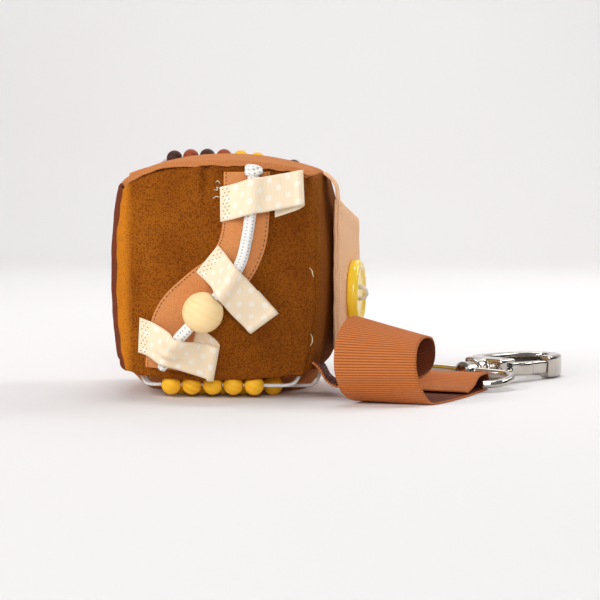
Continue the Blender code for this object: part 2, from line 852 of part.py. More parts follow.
def swivel_pin(material):
    """A rivet with a mushroom head inside the ring and its shank in the hook's neck."""
    shank = pin_diameter / 2
    head = pin_head_diameter / 2
    seat = -boss_length / 2 - piece_gap
    end = boss_length / 2 + piece_gap + neck_length * 0.7
    profile = (
        (0, end),
        (shank, end),
        (shank, seat),
        (head, seat),
        (head, seat - pin_head_thickness * 0.45),
        (head * 0.72, seat - pin_head_thickness * 0.85),
        (0, seat - pin_head_thickness),
    )
    turn = Matrix.Rotation(math.pi / 2, 4, "Y")
    return turned("swivel_pin", profile, round_steps, material, hook_frame() @ turn)


def hook_outline():
    """The bar's two sides, offset from its middle line."""
    middle = [point * hook_length for point in smooth_points(hook_shares, 26)]
    outer, inner = [], []
    for index, point in enumerate(middle):
        before = middle[max(index - 1, 0)]
        after = middle[min(index + 1, len(middle) - 1)]
        way = (after - before) / np.linalg.norm(after - before)
        side = np.array((-way[1], way[0])) * hook_bar / 2
        outer.append(point + side)
        inner.append(point - side)
    return outer + inner[::-1]


def prism(outline, depth):
    """A flat outline, given a thickness either side of its plane."""
    bm = bmesh.new()
    face = bm.faces.new([bm.verts.new((x, y, -depth / 2)) for x, y in outline])
    made = bmesh.ops.extrude_face_region(bm, geom=[face])
    moved = [item for item in made["geom"] if isinstance(item, bmesh.types.BMVert)]
    bmesh.ops.translate(bm, verts=moved, vec=(0, 0, depth))
    bmesh.ops.recalc_face_normals(bm, faces=bm.faces)
    return bm


def soften(bm, width):
    """Rounds the edges between a prism's flat faces and its wall."""
    edges = [edge for edge in bm.edges if edge.is_manifold and edge.calc_face_angle(0) > math.radians(50)]
    bmesh.ops.bevel(bm, geom=edges, offset=width, segments=2, profile=0.5, affect="EDGES", material=-1)


def box(low, high):
    bm = bmesh.new()
    bmesh.ops.create_cube(bm, size=1)
    for vertex in bm.verts:
        vertex.co = Vector([low[i] + (vertex.co[i] + 0.5) * (high[i] - low[i]) for i in range(3)])
    return bm


def hook_body(material):
    frame = hook_frame()
    bm = prism(hook_outline(), hook_thickness)
    soften(bm, hook_edge)
    body = add_object("hook_body", mesh_from(bm, "hook_body"), material, frame)
    neck_start = boss_length / 2 + piece_gap
    base_start = neck_start + neck_length - overrun / 2
    half = hook_thickness / 2
    base_end = base_start + base_length
    block = box((base_start, -base_near, -half), (base_end, base_far, half))
    soften(block, hook_edge)
    boolean(body, add_cutter("hook_base", mesh_from(block, "hook_base"), frame), "UNION")

    neck = neck_diameter / 2
    collar = collar_diameter / 2
    groove = neck_length / 7
    profile = [(0, base_start + overrun), (neck, base_start + overrun)]
    for number in (2, 1, 0):
        foot = neck_start + number * 2 * groove + groove * 0.6
        profile += [(neck, foot + groove), (collar, foot + groove * 0.8), (collar, foot + groove * 0.2), (neck, foot)]
    profile += [(neck, neck_start), (0, neck_start)]
    turn = Matrix.Rotation(math.pi / 2, 4, "Y")
    sleeve = turned("hook_neck", profile, round_steps, material, frame @ turn)
    parts.objects.unlink(sleeve)
    cutters.objects.link(sleeve)
    sleeve.hide_render = True
    sleeve.display_type = "WIRE"
    boolean(body, sleeve, "UNION")

    bore = lay_along_x(pin_diameter / 2 + piece_gap, pin_diameter / 2 + piece_gap, neck_length * 0.75 + overrun)
    start = Matrix.Translation(Vector((neck_start - overrun, 0, 0)))
    boolean(body, add_cutter("neck_bore", mesh_from(bore, "neck_bore"), frame @ start), "DIFFERENCE")

    slot_half = gate_thickness / 2 + slot_side_gap
    slot_start = gate_pivot_u - gate_hub_diameter / 2 - 2 * slot_side_gap
    slot = box((slot_start, -base_near - overrun, -slot_half), (base_end + overrun, slot_inner_v, slot_half))
    boolean(body, add_cutter("gate_slot", mesh_from(slot, "gate_slot"), frame), "DIFFERENCE")
    hole_radius = gate_pin_diameter / 2 + piece_gap
    pin_place = frame @ Matrix.Translation(Vector((gate_pivot_u, gate_pivot_v, 0)))
    hole = bmesh.new()
    bmesh.ops.create_cone(
        hole,
        cap_ends=True,
        segments=12,
        radius1=hole_radius,
        radius2=hole_radius,
        depth=hook_thickness + 2 * overrun,
    )
    boolean(body, add_cutter("pin_hole", mesh_from(hole, "pin_hole"), pin_place), "DIFFERENCE")
    return body


def gate(material):
    """The sprung gate: a hub on its pin, a bar to the hook's nose and a thumb nub."""
    nose = smooth_points(hook_shares, 26)[-1] * hook_length
    hub = gate_hub_diameter / 2
    tip_u = nose[0] - gate_pivot_u - 2 * piece_gap
    tip_v = nose[1] - gate_pivot_v
    half = gate_width / 2
    lean = math.atan2(tip_v, tip_u)
    length = math.hypot(tip_u, tip_v)
    outline = []
    for step in range(9):
        angle = math.pi / 2 + math.radians(20) + (math.pi - math.radians(40)) * step / 8
        outline.append((hub * math.cos(angle), hub * math.sin(angle)))
    nub_from, nub_to = length * 0.28, length * 0.62
    outline += [
        (hub * 0.9, -half),
        (nub_from, -half),
        (nub_from + gate_nub, -half - gate_nub),
        (nub_to - gate_nub, -half - gate_nub),
        (nub_to, -half),
        (length, -half),
        (length, half),
        (hub * 0.9, half),
    ]
    turn = Matrix.Rotation(lean, 2)
    bm = prism([tuple(turn @ Vector(point)) for point in outline], gate_thickness)
    frame = hook_frame() @ Matrix.Translation(Vector((gate_pivot_u, gate_pivot_v, 0)))
    made = add_object("gate", mesh_from(bm, "gate"), material, frame)
    hole_radius = gate_pin_diameter / 2 + piece_gap
    hole = bmesh.new()
    bmesh.ops.create_cone(
        hole,
        cap_ends=True,
        segments=12,
        radius1=hole_radius,
        radius2=hole_radius,
        depth=gate_thickness + 2 * overrun,
    )
    boolean(made, add_cutter("gate_pin_hole", mesh_from(hole, "gate_pin_hole"), frame), "DIFFERENCE")
    well = spring_turns * spring_step + spring_wire + piece_gap
    pocket = bmesh.new()
    bmesh.ops.create_cone(
        pocket, cap_ends=True, segments=16, radius1=hub * 1.08, radius2=hub * 1.08, depth=2 * well
    )
    bmesh.ops.translate(pocket, verts=pocket.verts, vec=(0, 0, gate_thickness / 2))
    boolean(made, add_cutter("gate_pocket", mesh_from(pocket, "gate_pocket"), frame), "DIFFERENCE")
    return made


def gate_pin_and_spring(pin_metal, spring_metal):
    frame = hook_frame() @ Matrix.Translation(Vector((gate_pivot_u, gate_pivot_v, 0)))
    bm = bmesh.new()
    radius = gate_pin_diameter / 2
    bmesh.ops.create_cone(
        bm, cap_ends=True, segments=12, radius1=radius, radius2=radius, depth=hook_thickness
    )
    add_object("gate_pin", mesh_from(bm, "gate_pin"), pin_metal, frame)
    coil_radius = radius + piece_gap + spring_wire / 2
    top = gate_thickness / 2 - spring_wire / 2
    points = []
    per_turn = 12
    for index in range(spring_turns * per_turn + 1):
        angle = 2 * math.pi * index / per_turn
        height = top - spring_step * index / per_turn
        points.append(
            frame @ Vector((coil_radius * math.cos(angle), coil_radius * math.sin(angle), height))
        )
    print(f"gate spring: least gap between its turns {(spring_step - spring_wire) / mm:.2f} mm")
    tube("gate_spring", points, spring_wire, spring_metal, sides_step=1)


clear_scene()
parts = new_collection("soft_activity_cube")
cutters = new_collection("cutters")

velvet = new_material("velvet", (0.42, 0.22, 0.03), 0.9)
suede = new_material("tan_suede", (0.5, 0.19, 0.06), 0.85)
maroon = new_material("maroon_suede", (0.2, 0.06, 0.03), 0.85)
fill = new_material("polyester_fill", (0.85, 0.85, 0.83), 0.95)
cream_ribbon = new_material("cream_ribbon", (0.88, 0.76, 0.48), 0.7)
white_cord = new_material("white_cord", (0.9, 0.89, 0.86), 0.75)
pale_wood = new_material("pale_wood", (0.86, 0.64, 0.28), 0.45)
yellow_wood = new_material("yellow_wood", (0.75, 0.4, 0.03), 0.55)
rust_wood = new_material("rust_wood", (0.4, 0.11, 0.03), 0.55)
dark_wood = new_material("dark_wood", (0.09, 0.03, 0.02), 0.5)
beige = new_material("beige_linen", (0.7, 0.44, 0.27), 0.9)
button_yellow = new_material("yellow_button", (0.85, 0.55, 0.05), 0.25)
strap_cloth = new_material("strap_grosgrain", (0.48, 0.19, 0.06), 0.65)
nickel = new_material("nickel_plate", (0.75, 0.74, 0.72), 0.18, 1)
spring_steel = new_material("spring_steel", (0.5, 0.5, 0.5), 0.3, 1)

stuffing(fill)
for face, cloth in (
    ("front", velvet),
    ("back", velvet),
    ("left", maroon),
    ("right", velvet),
    ("top", suede),
    ("bottom", suede),
):
    panel(face, cloth)

sheet("road_applique", 4, road_cells, road_place, road_thickness, suede)
cord_points = cord_route()
cord_flat = [front_place(point) for point in cord_points]
for tunnel in tunnel_shares:
    ribbon_tunnel(tunnel, cream_ribbon)
road_cord(white_cord)
run_middle, run_way = bead_run()
bead(
    "road_bead",
    road_bead_diameter,
    cord_diameter + 2 * bead_clearance,
    run_middle,
    run_way,
    pale_wood,
    round_steps,
)
bead_strands()
flap(beige)
flap_tab(beige)
button(button_yellow)
strap_rows = smooth_points(strap_shares, strap_cells)
sheet("strap", 2, strap_cells, strap_place, strap_thickness, strap_cloth)
hook_ring(nickel)
swivel_pin(nickel)
hook_body(nickel)
gate(nickel)
gate_pin_and_spring(nickel, spring_steel)

across_bar = Matrix.Rotation(math.pi / 2, 4, "X")
bar_place = ring_frame() @ Matrix.Translation(Vector((-(ring_depth - ring_wire) / 2, 0, 0)))
ring_pivot = add_pivot("ring_pivot", bar_place)
hook_swivel = add_pivot("hook_swivel", hook_frame())
flap_pivot = add_pivot("flap_pivot", Matrix.Translation(flap_hinge()) @ across_bar)
hang_on(ring_pivot, ["hook_ring", "swivel_pin", "hook_swivel"])
hang_on(hook_swivel, ["hook_body", "gate", "gate_pin", "gate_spring"])
hang_on(flap_pivot, ["flap", "flap_tab", "button", "button_thread"])
bpy.context.view_layer.update()
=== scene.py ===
# %% [markdown]
# # A soft activity cube on a clip strap
# A sewn and stuffed toy: six panels of velvet and suede, a bead on a braided cord under three ribbon
# tunnels, strands of wooden beads, a hanging flap with a big button, and a ribbed strap that ends in a
# snap hook. The rigid sizes come from the fixed frame. What is made here is the cloth and the finish:
# seams that draw in, pile, ribs, stitches, braid, wood grain and plated metal.

# %% Load the fixed frame
import math

import bmesh
import bpy
import numpy as np
from mathutils import Matrix, Vector, noise


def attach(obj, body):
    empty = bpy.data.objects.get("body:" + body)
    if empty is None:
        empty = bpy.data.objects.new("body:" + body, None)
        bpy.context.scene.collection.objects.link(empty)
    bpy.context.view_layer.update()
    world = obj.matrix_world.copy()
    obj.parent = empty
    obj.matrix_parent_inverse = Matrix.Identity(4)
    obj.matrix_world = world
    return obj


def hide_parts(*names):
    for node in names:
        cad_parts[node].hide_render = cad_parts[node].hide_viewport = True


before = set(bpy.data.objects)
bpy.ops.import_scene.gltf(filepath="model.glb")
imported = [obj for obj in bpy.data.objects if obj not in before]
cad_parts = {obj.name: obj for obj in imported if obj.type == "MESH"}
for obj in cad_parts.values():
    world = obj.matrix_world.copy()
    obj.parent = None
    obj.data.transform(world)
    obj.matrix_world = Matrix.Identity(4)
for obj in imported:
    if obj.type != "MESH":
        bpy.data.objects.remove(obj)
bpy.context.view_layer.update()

mm = 0.001
cm = 0.01
noise.seed_set(7)  # otherwise noise_vector starts from the clock, and the seams differ in each run

# %% [markdown]
# ## The view
# The photograph was taken with a long lens a little above the table, almost square to the cube. A long
# lens flattens the perspective, so the camera stands far away and the focal length does the framing.

# %% Camera
lens_px, picture_px = 1880, 600
pitch = math.radians(3.65)
turn = math.radians(5)
camera_data = bpy.data.cameras.new("camera")
camera_data.lens = camera_data.sensor_width * lens_px / picture_px
camera_data.clip_start = 0.05
camera = bpy.data.objects.new("camera", camera_data)
camera.location = (0.0925, -0.7348, 0.0822)
camera.rotation_euler = (math.pi / 2 - pitch, 0, turn)
bpy.context.scene.collection.objects.link(camera)
bpy.context.scene.camera = camera
print("lens", round(camera_data.lens, 1), "mm")

# %% [markdown]
# ## Colours
# Colours are read from the photograph as the numbers a picture editor shows. Shaders work on light, not
# on screen numbers, so each one is converted once, by the screen's own curve.


# %% Colour helper
def tint(red, green, blue, gain=1.0):
    """A screen colour turned into light, with a gain to darken or brighten it."""
    light = []
    for channel in (red, green, blue):
        share = channel / 255
        linear = share / 12.92 if share <= 0.04045 else ((share + 0.055) / 1.055) ** 2.4
        light.append(min(linear * gain, 1))
    return (*light, 1)


print("velvet highlight in light values:", [round(c, 3) for c in tint(215, 150, 40)])


# %% [markdown]
# ## Building node trees in few words
# A material is a small graph. Writing it with three helpers keeps each finish readable: one makes a node
# and fills its inputs, one wires a socket, and one opens a new material with its Principled BSDF.


# %% Node helpers
def put(tree, kind, settings=None, **inputs):
    """Adds a node, sets its properties and fills or wires its inputs, by name or as i0, i1 by number."""
    made = tree.nodes.new(kind)
    for key, value in (settings or {}).items():
        setattr(made, key, value)
    for key, value in inputs.items():
        name = key.replace("_", " ")
        numbered = name[0] == "i" and name[1:].isdigit()
        socket = made.inputs[int(name[1:]) if numbered else name]
        if isinstance(value, bpy.types.NodeSocket):
            tree.links.new(value, socket)
        else:
            socket.default_value = value
    return made


def start_material(name, **sockets):
    """A material with its shader's own sockets set; returns it with its tree and shader."""
    made = bpy.data.materials.new(name)
    made.use_nodes = True
    shader = made.node_tree.nodes["Principled BSDF"]
    for key, value in sockets.items():
        shader.inputs[key.replace("_", " ")].default_value = value
    return made, made.node_tree, shader


def math_node(tree, operation, *values, kind="ShaderNodeMath", output=0):
    inputs = {f"i{index}": value for index, value in enumerate(values)}
    return put(tree, kind, {"operation": operation}, **inputs).outputs[output]


def vector_node(tree, operation, *values, output=0):
    return math_node(tree, operation, *values, kind="ShaderNodeVectorMath", output=output)


def ramp(tree, value, start, end, high=1.0, low=0.0):
    """A value stretched so that start gives low and end gives high, and held beyond them."""
    made = put(tree, "ShaderNodeMapRange", Value=value, From_Min=start, From_Max=end, To_Min=low, To_Max=high)
    return made.outputs["Result"]


def mix_colours(tree, share, first, second):
    return put(tree, "ShaderNodeMix", {"data_type": "RGBA"}, i0=share, i6=first, i7=second).outputs[2]


def split(tree, vector):
    return put(tree, "ShaderNodeSeparateXYZ", Vector=vector).outputs


def paint(tree, shader, share, first, second):
    """The shader's colour, mixed from two by a share."""
    tree.links.new(mix_colours(tree, share, first, second), shader.inputs["Base Color"])


def place_of(tree):
    return tree.nodes.new("ShaderNodeTexCoord").outputs["Object"]


def map_of(tree):
    return tree.nodes.new("ShaderNodeTexCoord").outputs["UV"]


def bump(tree, shader, height, distance, strength=1.0):
    made = put(tree, "ShaderNodeBump", Height=height, Distance=distance, Strength=strength)
    tree.links.new(made.outputs["Normal"], shader.inputs["Normal"])


print("node helpers ready")

# %% [markdown]
# ## Effects that several cloths share
# Pile, nap and yarn all look mottled at two scales: fine tufts and slow clouds. That effect is one node
# group, placed in each cloth with its own scales. A second group makes the ribs of a grosgrain: a rounded
# wave along the ribbon's length, which its own map measures in centimetres.


# %% Node groups
def new_group(name, inputs, outputs):
    """A group of nodes: inputs with a default are numbers, those without are places, outputs are masks."""
    group = bpy.data.node_groups.new(name, "ShaderNodeTree")
    for socket, default in inputs:
        kind = "NodeSocketVector" if default is None else "NodeSocketFloat"
        made = group.interface.new_socket(socket, in_out="INPUT", socket_type=kind)
        if default is not None:
            made.default_value = default
    for socket in outputs:
        group.interface.new_socket(socket, in_out="OUTPUT", socket_type="NodeSocketFloat")
    return group, group.nodes.new("NodeGroupInput").outputs, group.nodes.new("NodeGroupOutput").inputs


mottle, given, out = new_group(
    "cloth_mottle",
    (("Vector", None), ("Tuft", 1500.0), ("Cloud", 60.0)),
    ("Tufts", "Clouds"),
)
fine = put(mottle, "ShaderNodeTexNoise", Vector=given["Vector"], Scale=given["Tuft"], Detail=3.0, Roughness=0.7)
slow = put(mottle, "ShaderNodeTexNoise", Vector=given["Vector"], Scale=given["Cloud"], Detail=2.0)
for source, target in ((fine, "Tufts"), (slow, "Clouds")):
    mottle.links.new(ramp(mottle, source.outputs["Fac"], 0.3, 0.7), out[target])

ribbing, given, out = new_group(
    "cloth_ribs",
    (("Vector", None), ("Pitch", 0.1)),
    ("Height", "GrooveShade"),
)
phase = math_node(ribbing, "DIVIDE", split(ribbing, given["Vector"])["Y"], given["Pitch"])
wave = math_node(ribbing, "SINE", math_node(ribbing, "MULTIPLY", phase, 2 * math.pi))
height = math_node(ribbing, "MULTIPLY_ADD", wave, 0.5, 0.5)
ribbing.links.new(math_node(ribbing, "POWER", height, 0.6), out["Height"])
# GrooveShade is deepest between the ribs; the cloths use it for painted shade in the grooves
ribbing.links.new(math_node(ribbing, "POWER", math_node(ribbing, "SUBTRACT", 1.0, height), 3.0), out["GrooveShade"])


def put_group(tree, group, **inputs):
    return put(tree, "ShaderNodeGroup", {"node_tree": group}, **inputs).outputs


print("groups:", mottle.name, ribbing.name)

# %% [markdown]
# ## Velvet and suede
# Velvet is a dense pile: its tufts show as light and dark specks, and it glows along edges that turn
# away, which is what the shader's sheen gives. Suede is the same idea with a shorter nap: less contrast,
# less glow.


# %% Pile cloths
# Painted light on the velvet, from left to right: a painted highlight band by the left seam, a faint
# one by the right seam, and painted shade that grows slowly to the right and is strongest on the right
# side. All are metres along X.
left_highlight_band = (-31.5 * mm, -34.5 * mm)
right_highlight_band = (33.8 * mm, 36 * mm)
shade_to_right = ((-30 * mm, 38 * mm, 0.42), (38.5 * mm, 41.5 * mm, 0.5))


def pile_cloth(name, dark, middle, light, sheen, tuft, contrast, roughness, relief, edge_light_strength=0.0):
    material, tree, shader = start_material(name, Roughness=roughness, Sheen_Weight=sheen, Sheen_Roughness=0.4)
    shader.inputs["Sheen Tint"].default_value = light
    shader.inputs["Specular IOR Level"].default_value = 0.1
    here = place_of(tree)
    specks = put_group(tree, mottle, Vector=here, Tuft=tuft, Cloud=55.0)
    pits = put(tree, "ShaderNodeTexVoronoi", Vector=here, Scale=tuft * 0.38, Randomness=0.85)
    dent = ramp(tree, pits.outputs["Distance"], 0.04, 0.52)
    blend = math_node(tree, "MULTIPLY", specks["Tufts"], 1 - contrast)
    blend = math_node(tree, "MULTIPLY_ADD", dent, contrast, blend)
    low = mix_colours(tree, blend, dark, middle)
    cloud = math_node(tree, "MULTIPLY_ADD", specks["Clouds"], 0.35, 0.3)
    lift = math_node(tree, "MULTIPLY", math_node(tree, "POWER", blend, 2.0), cloud)
    colour = mix_colours(tree, lift, low, light)
    # Painted light: highlight bands by the seams and painted shade towards the right, mixed into the colour
    if edge_light_strength:
        side = split(tree, here)["X"]
        edges = math_node(
            tree, "ADD", ramp(tree, side, *left_highlight_band, edge_light_strength), ramp(tree, side, *right_highlight_band, edge_light_strength * 0.12)
        )
        highlight_mask = math_node(tree, "MULTIPLY", edges, math_node(tree, "MULTIPLY_ADD", blend, 0.6, 0.4))
        # Painted shade: the velvet darkens to the right, most on the right side
        for start, end, most in shade_to_right:
            colour = mix_colours(tree, ramp(tree, side, start, end, most), colour, dark)
        colour = mix_colours(tree, highlight_mask, colour, light)
    tree.links.new(colour, shader.inputs["Base Color"])
    bump(tree, shader, blend, relief)
    return material


# The last number switches on the painted highlights and painted shade and sets the highlights' strength
velvet = pile_cloth(
    "velvet", tint(68, 25, 4), tint(138, 66, 10), tint(228, 138, 36), 0.06, 3200.0, 0.5, 0.95, 0.35 * mm, 1.0
)


def suede(name, dark, middle, light, contrast=0.2, relief=0.1 * mm):
    return pile_cloth(name, dark, middle, light, 0.05, 3000.0, contrast, 0.9, relief)


tan_suede = suede("tan_suede", tint(180, 102, 54), tint(208, 134, 78), tint(226, 158, 104))
# A lighter copy of the tan suede for the road: painted light
lit_road_suede = suede("lit_road_suede", tint(196, 118, 66), tint(226, 150, 90), tint(240, 174, 116), 0.25, 0.12 * mm)
maroon_suede = suede("maroon_suede", tint(92, 38, 22), tint(122, 58, 38), tint(150, 84, 62))
print("pile cloths:", velvet.name, tan_suede.name, maroon_suede.name)

# %% [markdown]
# ## Dotted ribbon, ribbed strap and linen
# The ribbon is a thin cream grosgrain printed with plain white dots in staggered rows. The dots are found
# by folding the ribbon's own map into one tile and measuring the distance to its middle. The strap is a
# heavier grosgrain in rust, with ribs a millimetre apart. Linen is plain weave: two fine waves crossing.


# %% Woven cloths
def dots(tree, where, pitch, shift):
    """A mask of round dots on a lattice, in the map's own centimetres."""
    scaled = vector_node(tree, "DIVIDE", vector_node(tree, "ADD", where, (*shift, 0)), (*pitch, 1))
    middle = vector_node(tree, "SUBTRACT", vector_node(tree, "FRACTION", scaled), (0.5, 0.5, 0))
    reach = vector_node(tree, "LENGTH", vector_node(tree, "MULTIPLY", middle, (*pitch, 0)), output="Value")
    return ramp(tree, reach, 0.13, 0.08, 0.7)


dot_pitch, dot_shifts = (0.64, 0.74), ((0.17, 0.1), (0.49, 0.47))
dot_ribbon, tree, shader = start_material("dot_ribbon", Roughness=0.7, Specular_IOR_Level=0.2)
where = map_of(tree)
ribs = put_group(tree, ribbing, Vector=where, Pitch=0.055)
spots = math_node(tree, "MAXIMUM", *[dots(tree, where, dot_pitch, shift) for shift in dot_shifts])
# Painted shade: the cream darkens in the grooves between the ribs
cream = mix_colours(tree, ribs["GrooveShade"], tint(254, 236, 208), tint(252, 226, 184))
paint(tree, shader, spots, cream, tint(255, 250, 238))
bump(tree, shader, ribs["Height"], 0.08 * mm, 0.8)


def grosgrain(name, low, high, groove):
    material, tree, shader = start_material(name, Roughness=0.75, Specular_IOR_Level=0.2)
    ribs = put_group(tree, ribbing, Vector=map_of(tree), Pitch=0.1)
    yarn = put_group(tree, mottle, Vector=place_of(tree), Tuft=2600.0, Cloud=80.0)
    # Painted shade: the grooves between the ribs take the darker groove colour
    paint(tree, shader, ribs["GrooveShade"], mix_colours(tree, yarn["Tufts"], low, high), groove)
    bump(tree, shader, math_node(tree, "MULTIPLY_ADD", yarn["Tufts"], 0.12, ribs["Height"]), 0.25 * mm)
    return material


# The third colour is the painted shade of the rib grooves
rust_grosgrain = grosgrain("rust_grosgrain", tint(200, 114, 56), tint(216, 130, 70), tint(156, 80, 38))
# A darker copy of the strap's grosgrain for its reverse face: painted shade for the inside of the roll
shaded_grosgrain = grosgrain("shaded_grosgrain", tint(112, 50, 22), tint(128, 60, 28), tint(70, 28, 12))

linen_pitch = 0.55 * mm
beige_linen, tree, shader = start_material("beige_linen", Roughness=0.9, Specular_IOR_Level=0.2)
here = place_of(tree)
parts = split(tree, here)
turns = [math_node(tree, "MULTIPLY", parts[axis], 2 * math.pi / linen_pitch) for axis in "YZ"]
warp, weft = [math_node(tree, "SINE", turn) for turn in turns]
weave = math_node(tree, "MULTIPLY_ADD", math_node(tree, "MULTIPLY", warp, weft), 0.5, 0.5)
slub = put_group(tree, mottle, Vector=here, Tuft=1500.0, Cloud=120.0)
thread = mix_colours(tree, slub["Tufts"], tint(250, 202, 158), tint(255, 222, 184))
paint(tree, shader, weave, tint(228, 172, 128), thread)
bump(tree, shader, weave, 0.1 * mm, 0.7)
print("woven cloths:", dot_ribbon.name, rust_grosgrain.name, beige_linen.name)

# %% [markdown]
# ## Braid, thread, wood, button and plate
# The cord is a white tubular braid, so its pattern is two spirals that cross; the crossings sink in as
# small pits, painted darker with painted shade. The beads are dyed wood: soft growth rings and streaks
# under a thin satin coat. The button is cast plastic with a deep gloss, and the hook is bright nickel,
# which mostly shows what is around it, with a faint brushed grain to break the mirror.

# %% Hard finishes and thread
braid_lay = 2.6 * mm
braid, tree, shader = start_material("white_braid", Roughness=0.75, Sheen_Weight=0.2)
parts = split(tree, map_of(tree))
spirals = []
for sign in (1, -1):
    along = math_node(tree, "MULTIPLY", parts["Y"], 2 * math.pi / (braid_lay / cm) * sign)
    spirals.append(math_node(tree, "SINE", math_node(tree, "MULTIPLY_ADD", parts["X"], 6 * math.pi, along)))
pit_and_shade = math_node(tree, "POWER", math_node(tree, "MAXIMUM", math_node(tree, "MULTIPLY", *spirals), 0.0), 2.0)
# Painted shade: the pits where the strands cross are painted grey
paint(tree, shader, pit_and_shade, tint(246, 244, 240), tint(176, 168, 160))
bump(tree, shader, math_node(tree, "SUBTRACT", 1.0, pit_and_shade), 0.25 * mm)


def plain_thread(name, colour):
    material, tree, shader = start_material(name, Roughness=0.7, Sheen_Weight=0.2)
    twist = put_group(tree, mottle, Vector=place_of(tree), Tuft=4000.0, Cloud=200.0)
    darker = tuple(channel * 0.7 for channel in colour[:3]) + (1,)
    paint(tree, shader, twist["Tufts"], darker, colour)
    bump(tree, shader, twist["Tufts"], 0.08 * mm)
    return material


def dyed_wood(name, body, streak, coat=0.2, roughness=0.5):
    material, tree, shader = start_material(name, Coat_Weight=coat, Coat_Roughness=0.3, Specular_IOR_Level=0.3)
    here = place_of(tree)
    turned = put(tree, "ShaderNodeMapping", Vector=here, Rotation=(0.3, 0.5, 0.2), Scale=(1.0, 1.0, 3.0))
    grain = put(tree, "ShaderNodeTexWave", Vector=turned.outputs[0], Scale=70.0, Distortion=5.0, Detail=2.0)
    pores = put_group(tree, mottle, Vector=turned.outputs[0], Tuft=900.0, Cloud=90.0)
    share = math_node(tree, "MULTIPLY", grain.outputs["Fac"], pores["Clouds"])
    paint(tree, shader, share, body, streak)
    rough = math_node(tree, "MULTIPLY_ADD", pores["Tufts"], 0.15, roughness)
    tree.links.new(rough, shader.inputs["Roughness"])
    bump(tree, shader, share, 0.05 * mm, 0.5)
    return material


white_thread = plain_thread("white_thread", tint(244, 242, 238))
dark_thread = plain_thread("dark_thread", tint(70, 36, 18))
tan_thread = plain_thread("tan_thread", tint(226, 166, 116))
brown_thread = plain_thread("brown_thread", tint(132, 96, 62))
cream_thread = plain_thread("cream_thread", tint(245, 228, 190))
pale_wood = dyed_wood("pale_wood", tint(255, 224, 168), tint(254, 214, 146), 0.12, 0.5)
yellow_wood = dyed_wood("yellow_wood", tint(255, 194, 38), tint(244, 172, 24), 0.1, 0.55)
rust_wood = dyed_wood("rust_wood", tint(158, 70, 28), tint(130, 50, 18), 0.08)
dark_wood = dyed_wood("dark_wood", tint(70, 28, 14), tint(50, 18, 8), 0.08)

button_cast, tree, shader = start_material("button_cast", Roughness=0.25, Coat_Weight=0.3, Coat_Roughness=0.1)
swirl = put(tree, "ShaderNodeTexNoise", Vector=place_of(tree), Scale=120.0, Detail=1.0, Distortion=1.5)
paint(tree, shader, swirl.outputs["Fac"], tint(255, 208, 20), tint(255, 224, 64))
shader.inputs["Subsurface Weight"].default_value = 0.15
shader.inputs["Subsurface Radius"].default_value = (0.003, 0.002, 0.001)


def bright_metal(name, tuft, cloud, mask, first, second, spread, least):
    """A plain metal, its colour mottled by one mask and its roughness by the tufts."""
    material, tree, shader = start_material(name, Metallic=1.0)
    haze = put_group(tree, mottle, Vector=place_of(tree), Tuft=tuft, Cloud=cloud)
    paint(tree, shader, haze[mask], first, second)
    tree.links.new(math_node(tree, "MULTIPLY_ADD", haze["Tufts"], spread, least), shader.inputs["Roughness"])
    return material


plated, drawn = (tint(202, 196, 188), tint(180, 173, 165)), (tint(150, 148, 146), tint(186, 184, 182))
nickel = bright_metal("bright_nickel", 900.0, 90.0, "Clouds", *plated, 0.06, 0.08)
spring_steel = bright_metal("spring_steel", 3000.0, 300.0, "Tufts", *drawn, 0.1, 0.25)

fill_cloth = plain_thread("fill_cloth", tint(236, 234, 228))
print("hard finishes:", button_cast.name, nickel.name, pale_wood.name)

# %% [markdown]
# ## The cube's skin
# Everything sewn to the cube follows one surface. It is described as a rule: a point of a unit cube is
# pulled in towards the middle a little at the edges, which gives crowned faces and drawn-in corners, the
# top's corners drop, and the bottom sags to the table. The same rule gives the place of a road point.

# %% The rule for the skin
cube_half, left_half, right_half = 41 * mm, 43.5 * mm, 42 * mm
top_half, bottom_half, resting_drop = 46 * mm, 43.5 * mm, 3.5 * mm
centre_z = bottom_half + resting_drop


def skin_point(q):
    pull = 0.7 + 0.3 / q.length
    side = 0 if q.x < 0 else 1
    x = (left_half, right_half)[side] * q.x * pull
    y = cube_half * q.y * pull
    if q.z >= 0:
        z = top_half * q.z * pull * (1 - (0.14, 0.07)[side] * abs(q.x) ** 3)
    else:
        z = bottom_half * q.z * pull * (1 - (0.03, 0.09)[side] * abs(q.x) ** 5)
    if q.z <= -0.98:
        along = max(0, 1 - q.x**4)
        z += 5 * mm * along * math.exp(-(((y + 27 * mm) / (8 * mm)) ** 2))
        across = max(0, 1 - ((y - 5 * mm) / (23 * mm)) ** 2) ** 2
        z -= max(0, min(11 * mm * across * along, z + centre_z))
    return Vector((x, y, z))


def on_face(face, a, b, lift=0.0):
    """The point whose two flat coordinates are a and b on the front or the top, lifted off the skin."""
    pick = {"front": (0, 2), "top": (0, 1)}[face]
    unit = {"front": lambda u, v: Vector((u, -1, v)), "top": lambda u, v: Vector((u, v, 1))}[face]

    def seek(first, second):
        u, v = first / cube_half, second / cube_half
        for _ in range(12):
            found = skin_point(unit(u, v))
            u += (first - found[pick[0]]) / cube_half
            v += (second - found[pick[1]]) / cube_half
        return found

    step = cube_half / 100
    here = seek(a, b)
    slope = (seek(a + step, b) - seek(a - step, b)).cross(seek(a, b + step) - seek(a, b - step))
    return here + slope.normalized() * lift + Vector((0, 0, centre_z))


print("front middle:", on_face("front", 0, 0))


# %% [markdown]
# ## Adding a piece
# Each piece rides on a body of the frame, takes its finish, and says which solids it stands for. One
# helper does that for all. A second helper lays a grid over a rule that places its points, and keeps a
# map in centimetres, so a weave stays its real size on any bent ribbon.


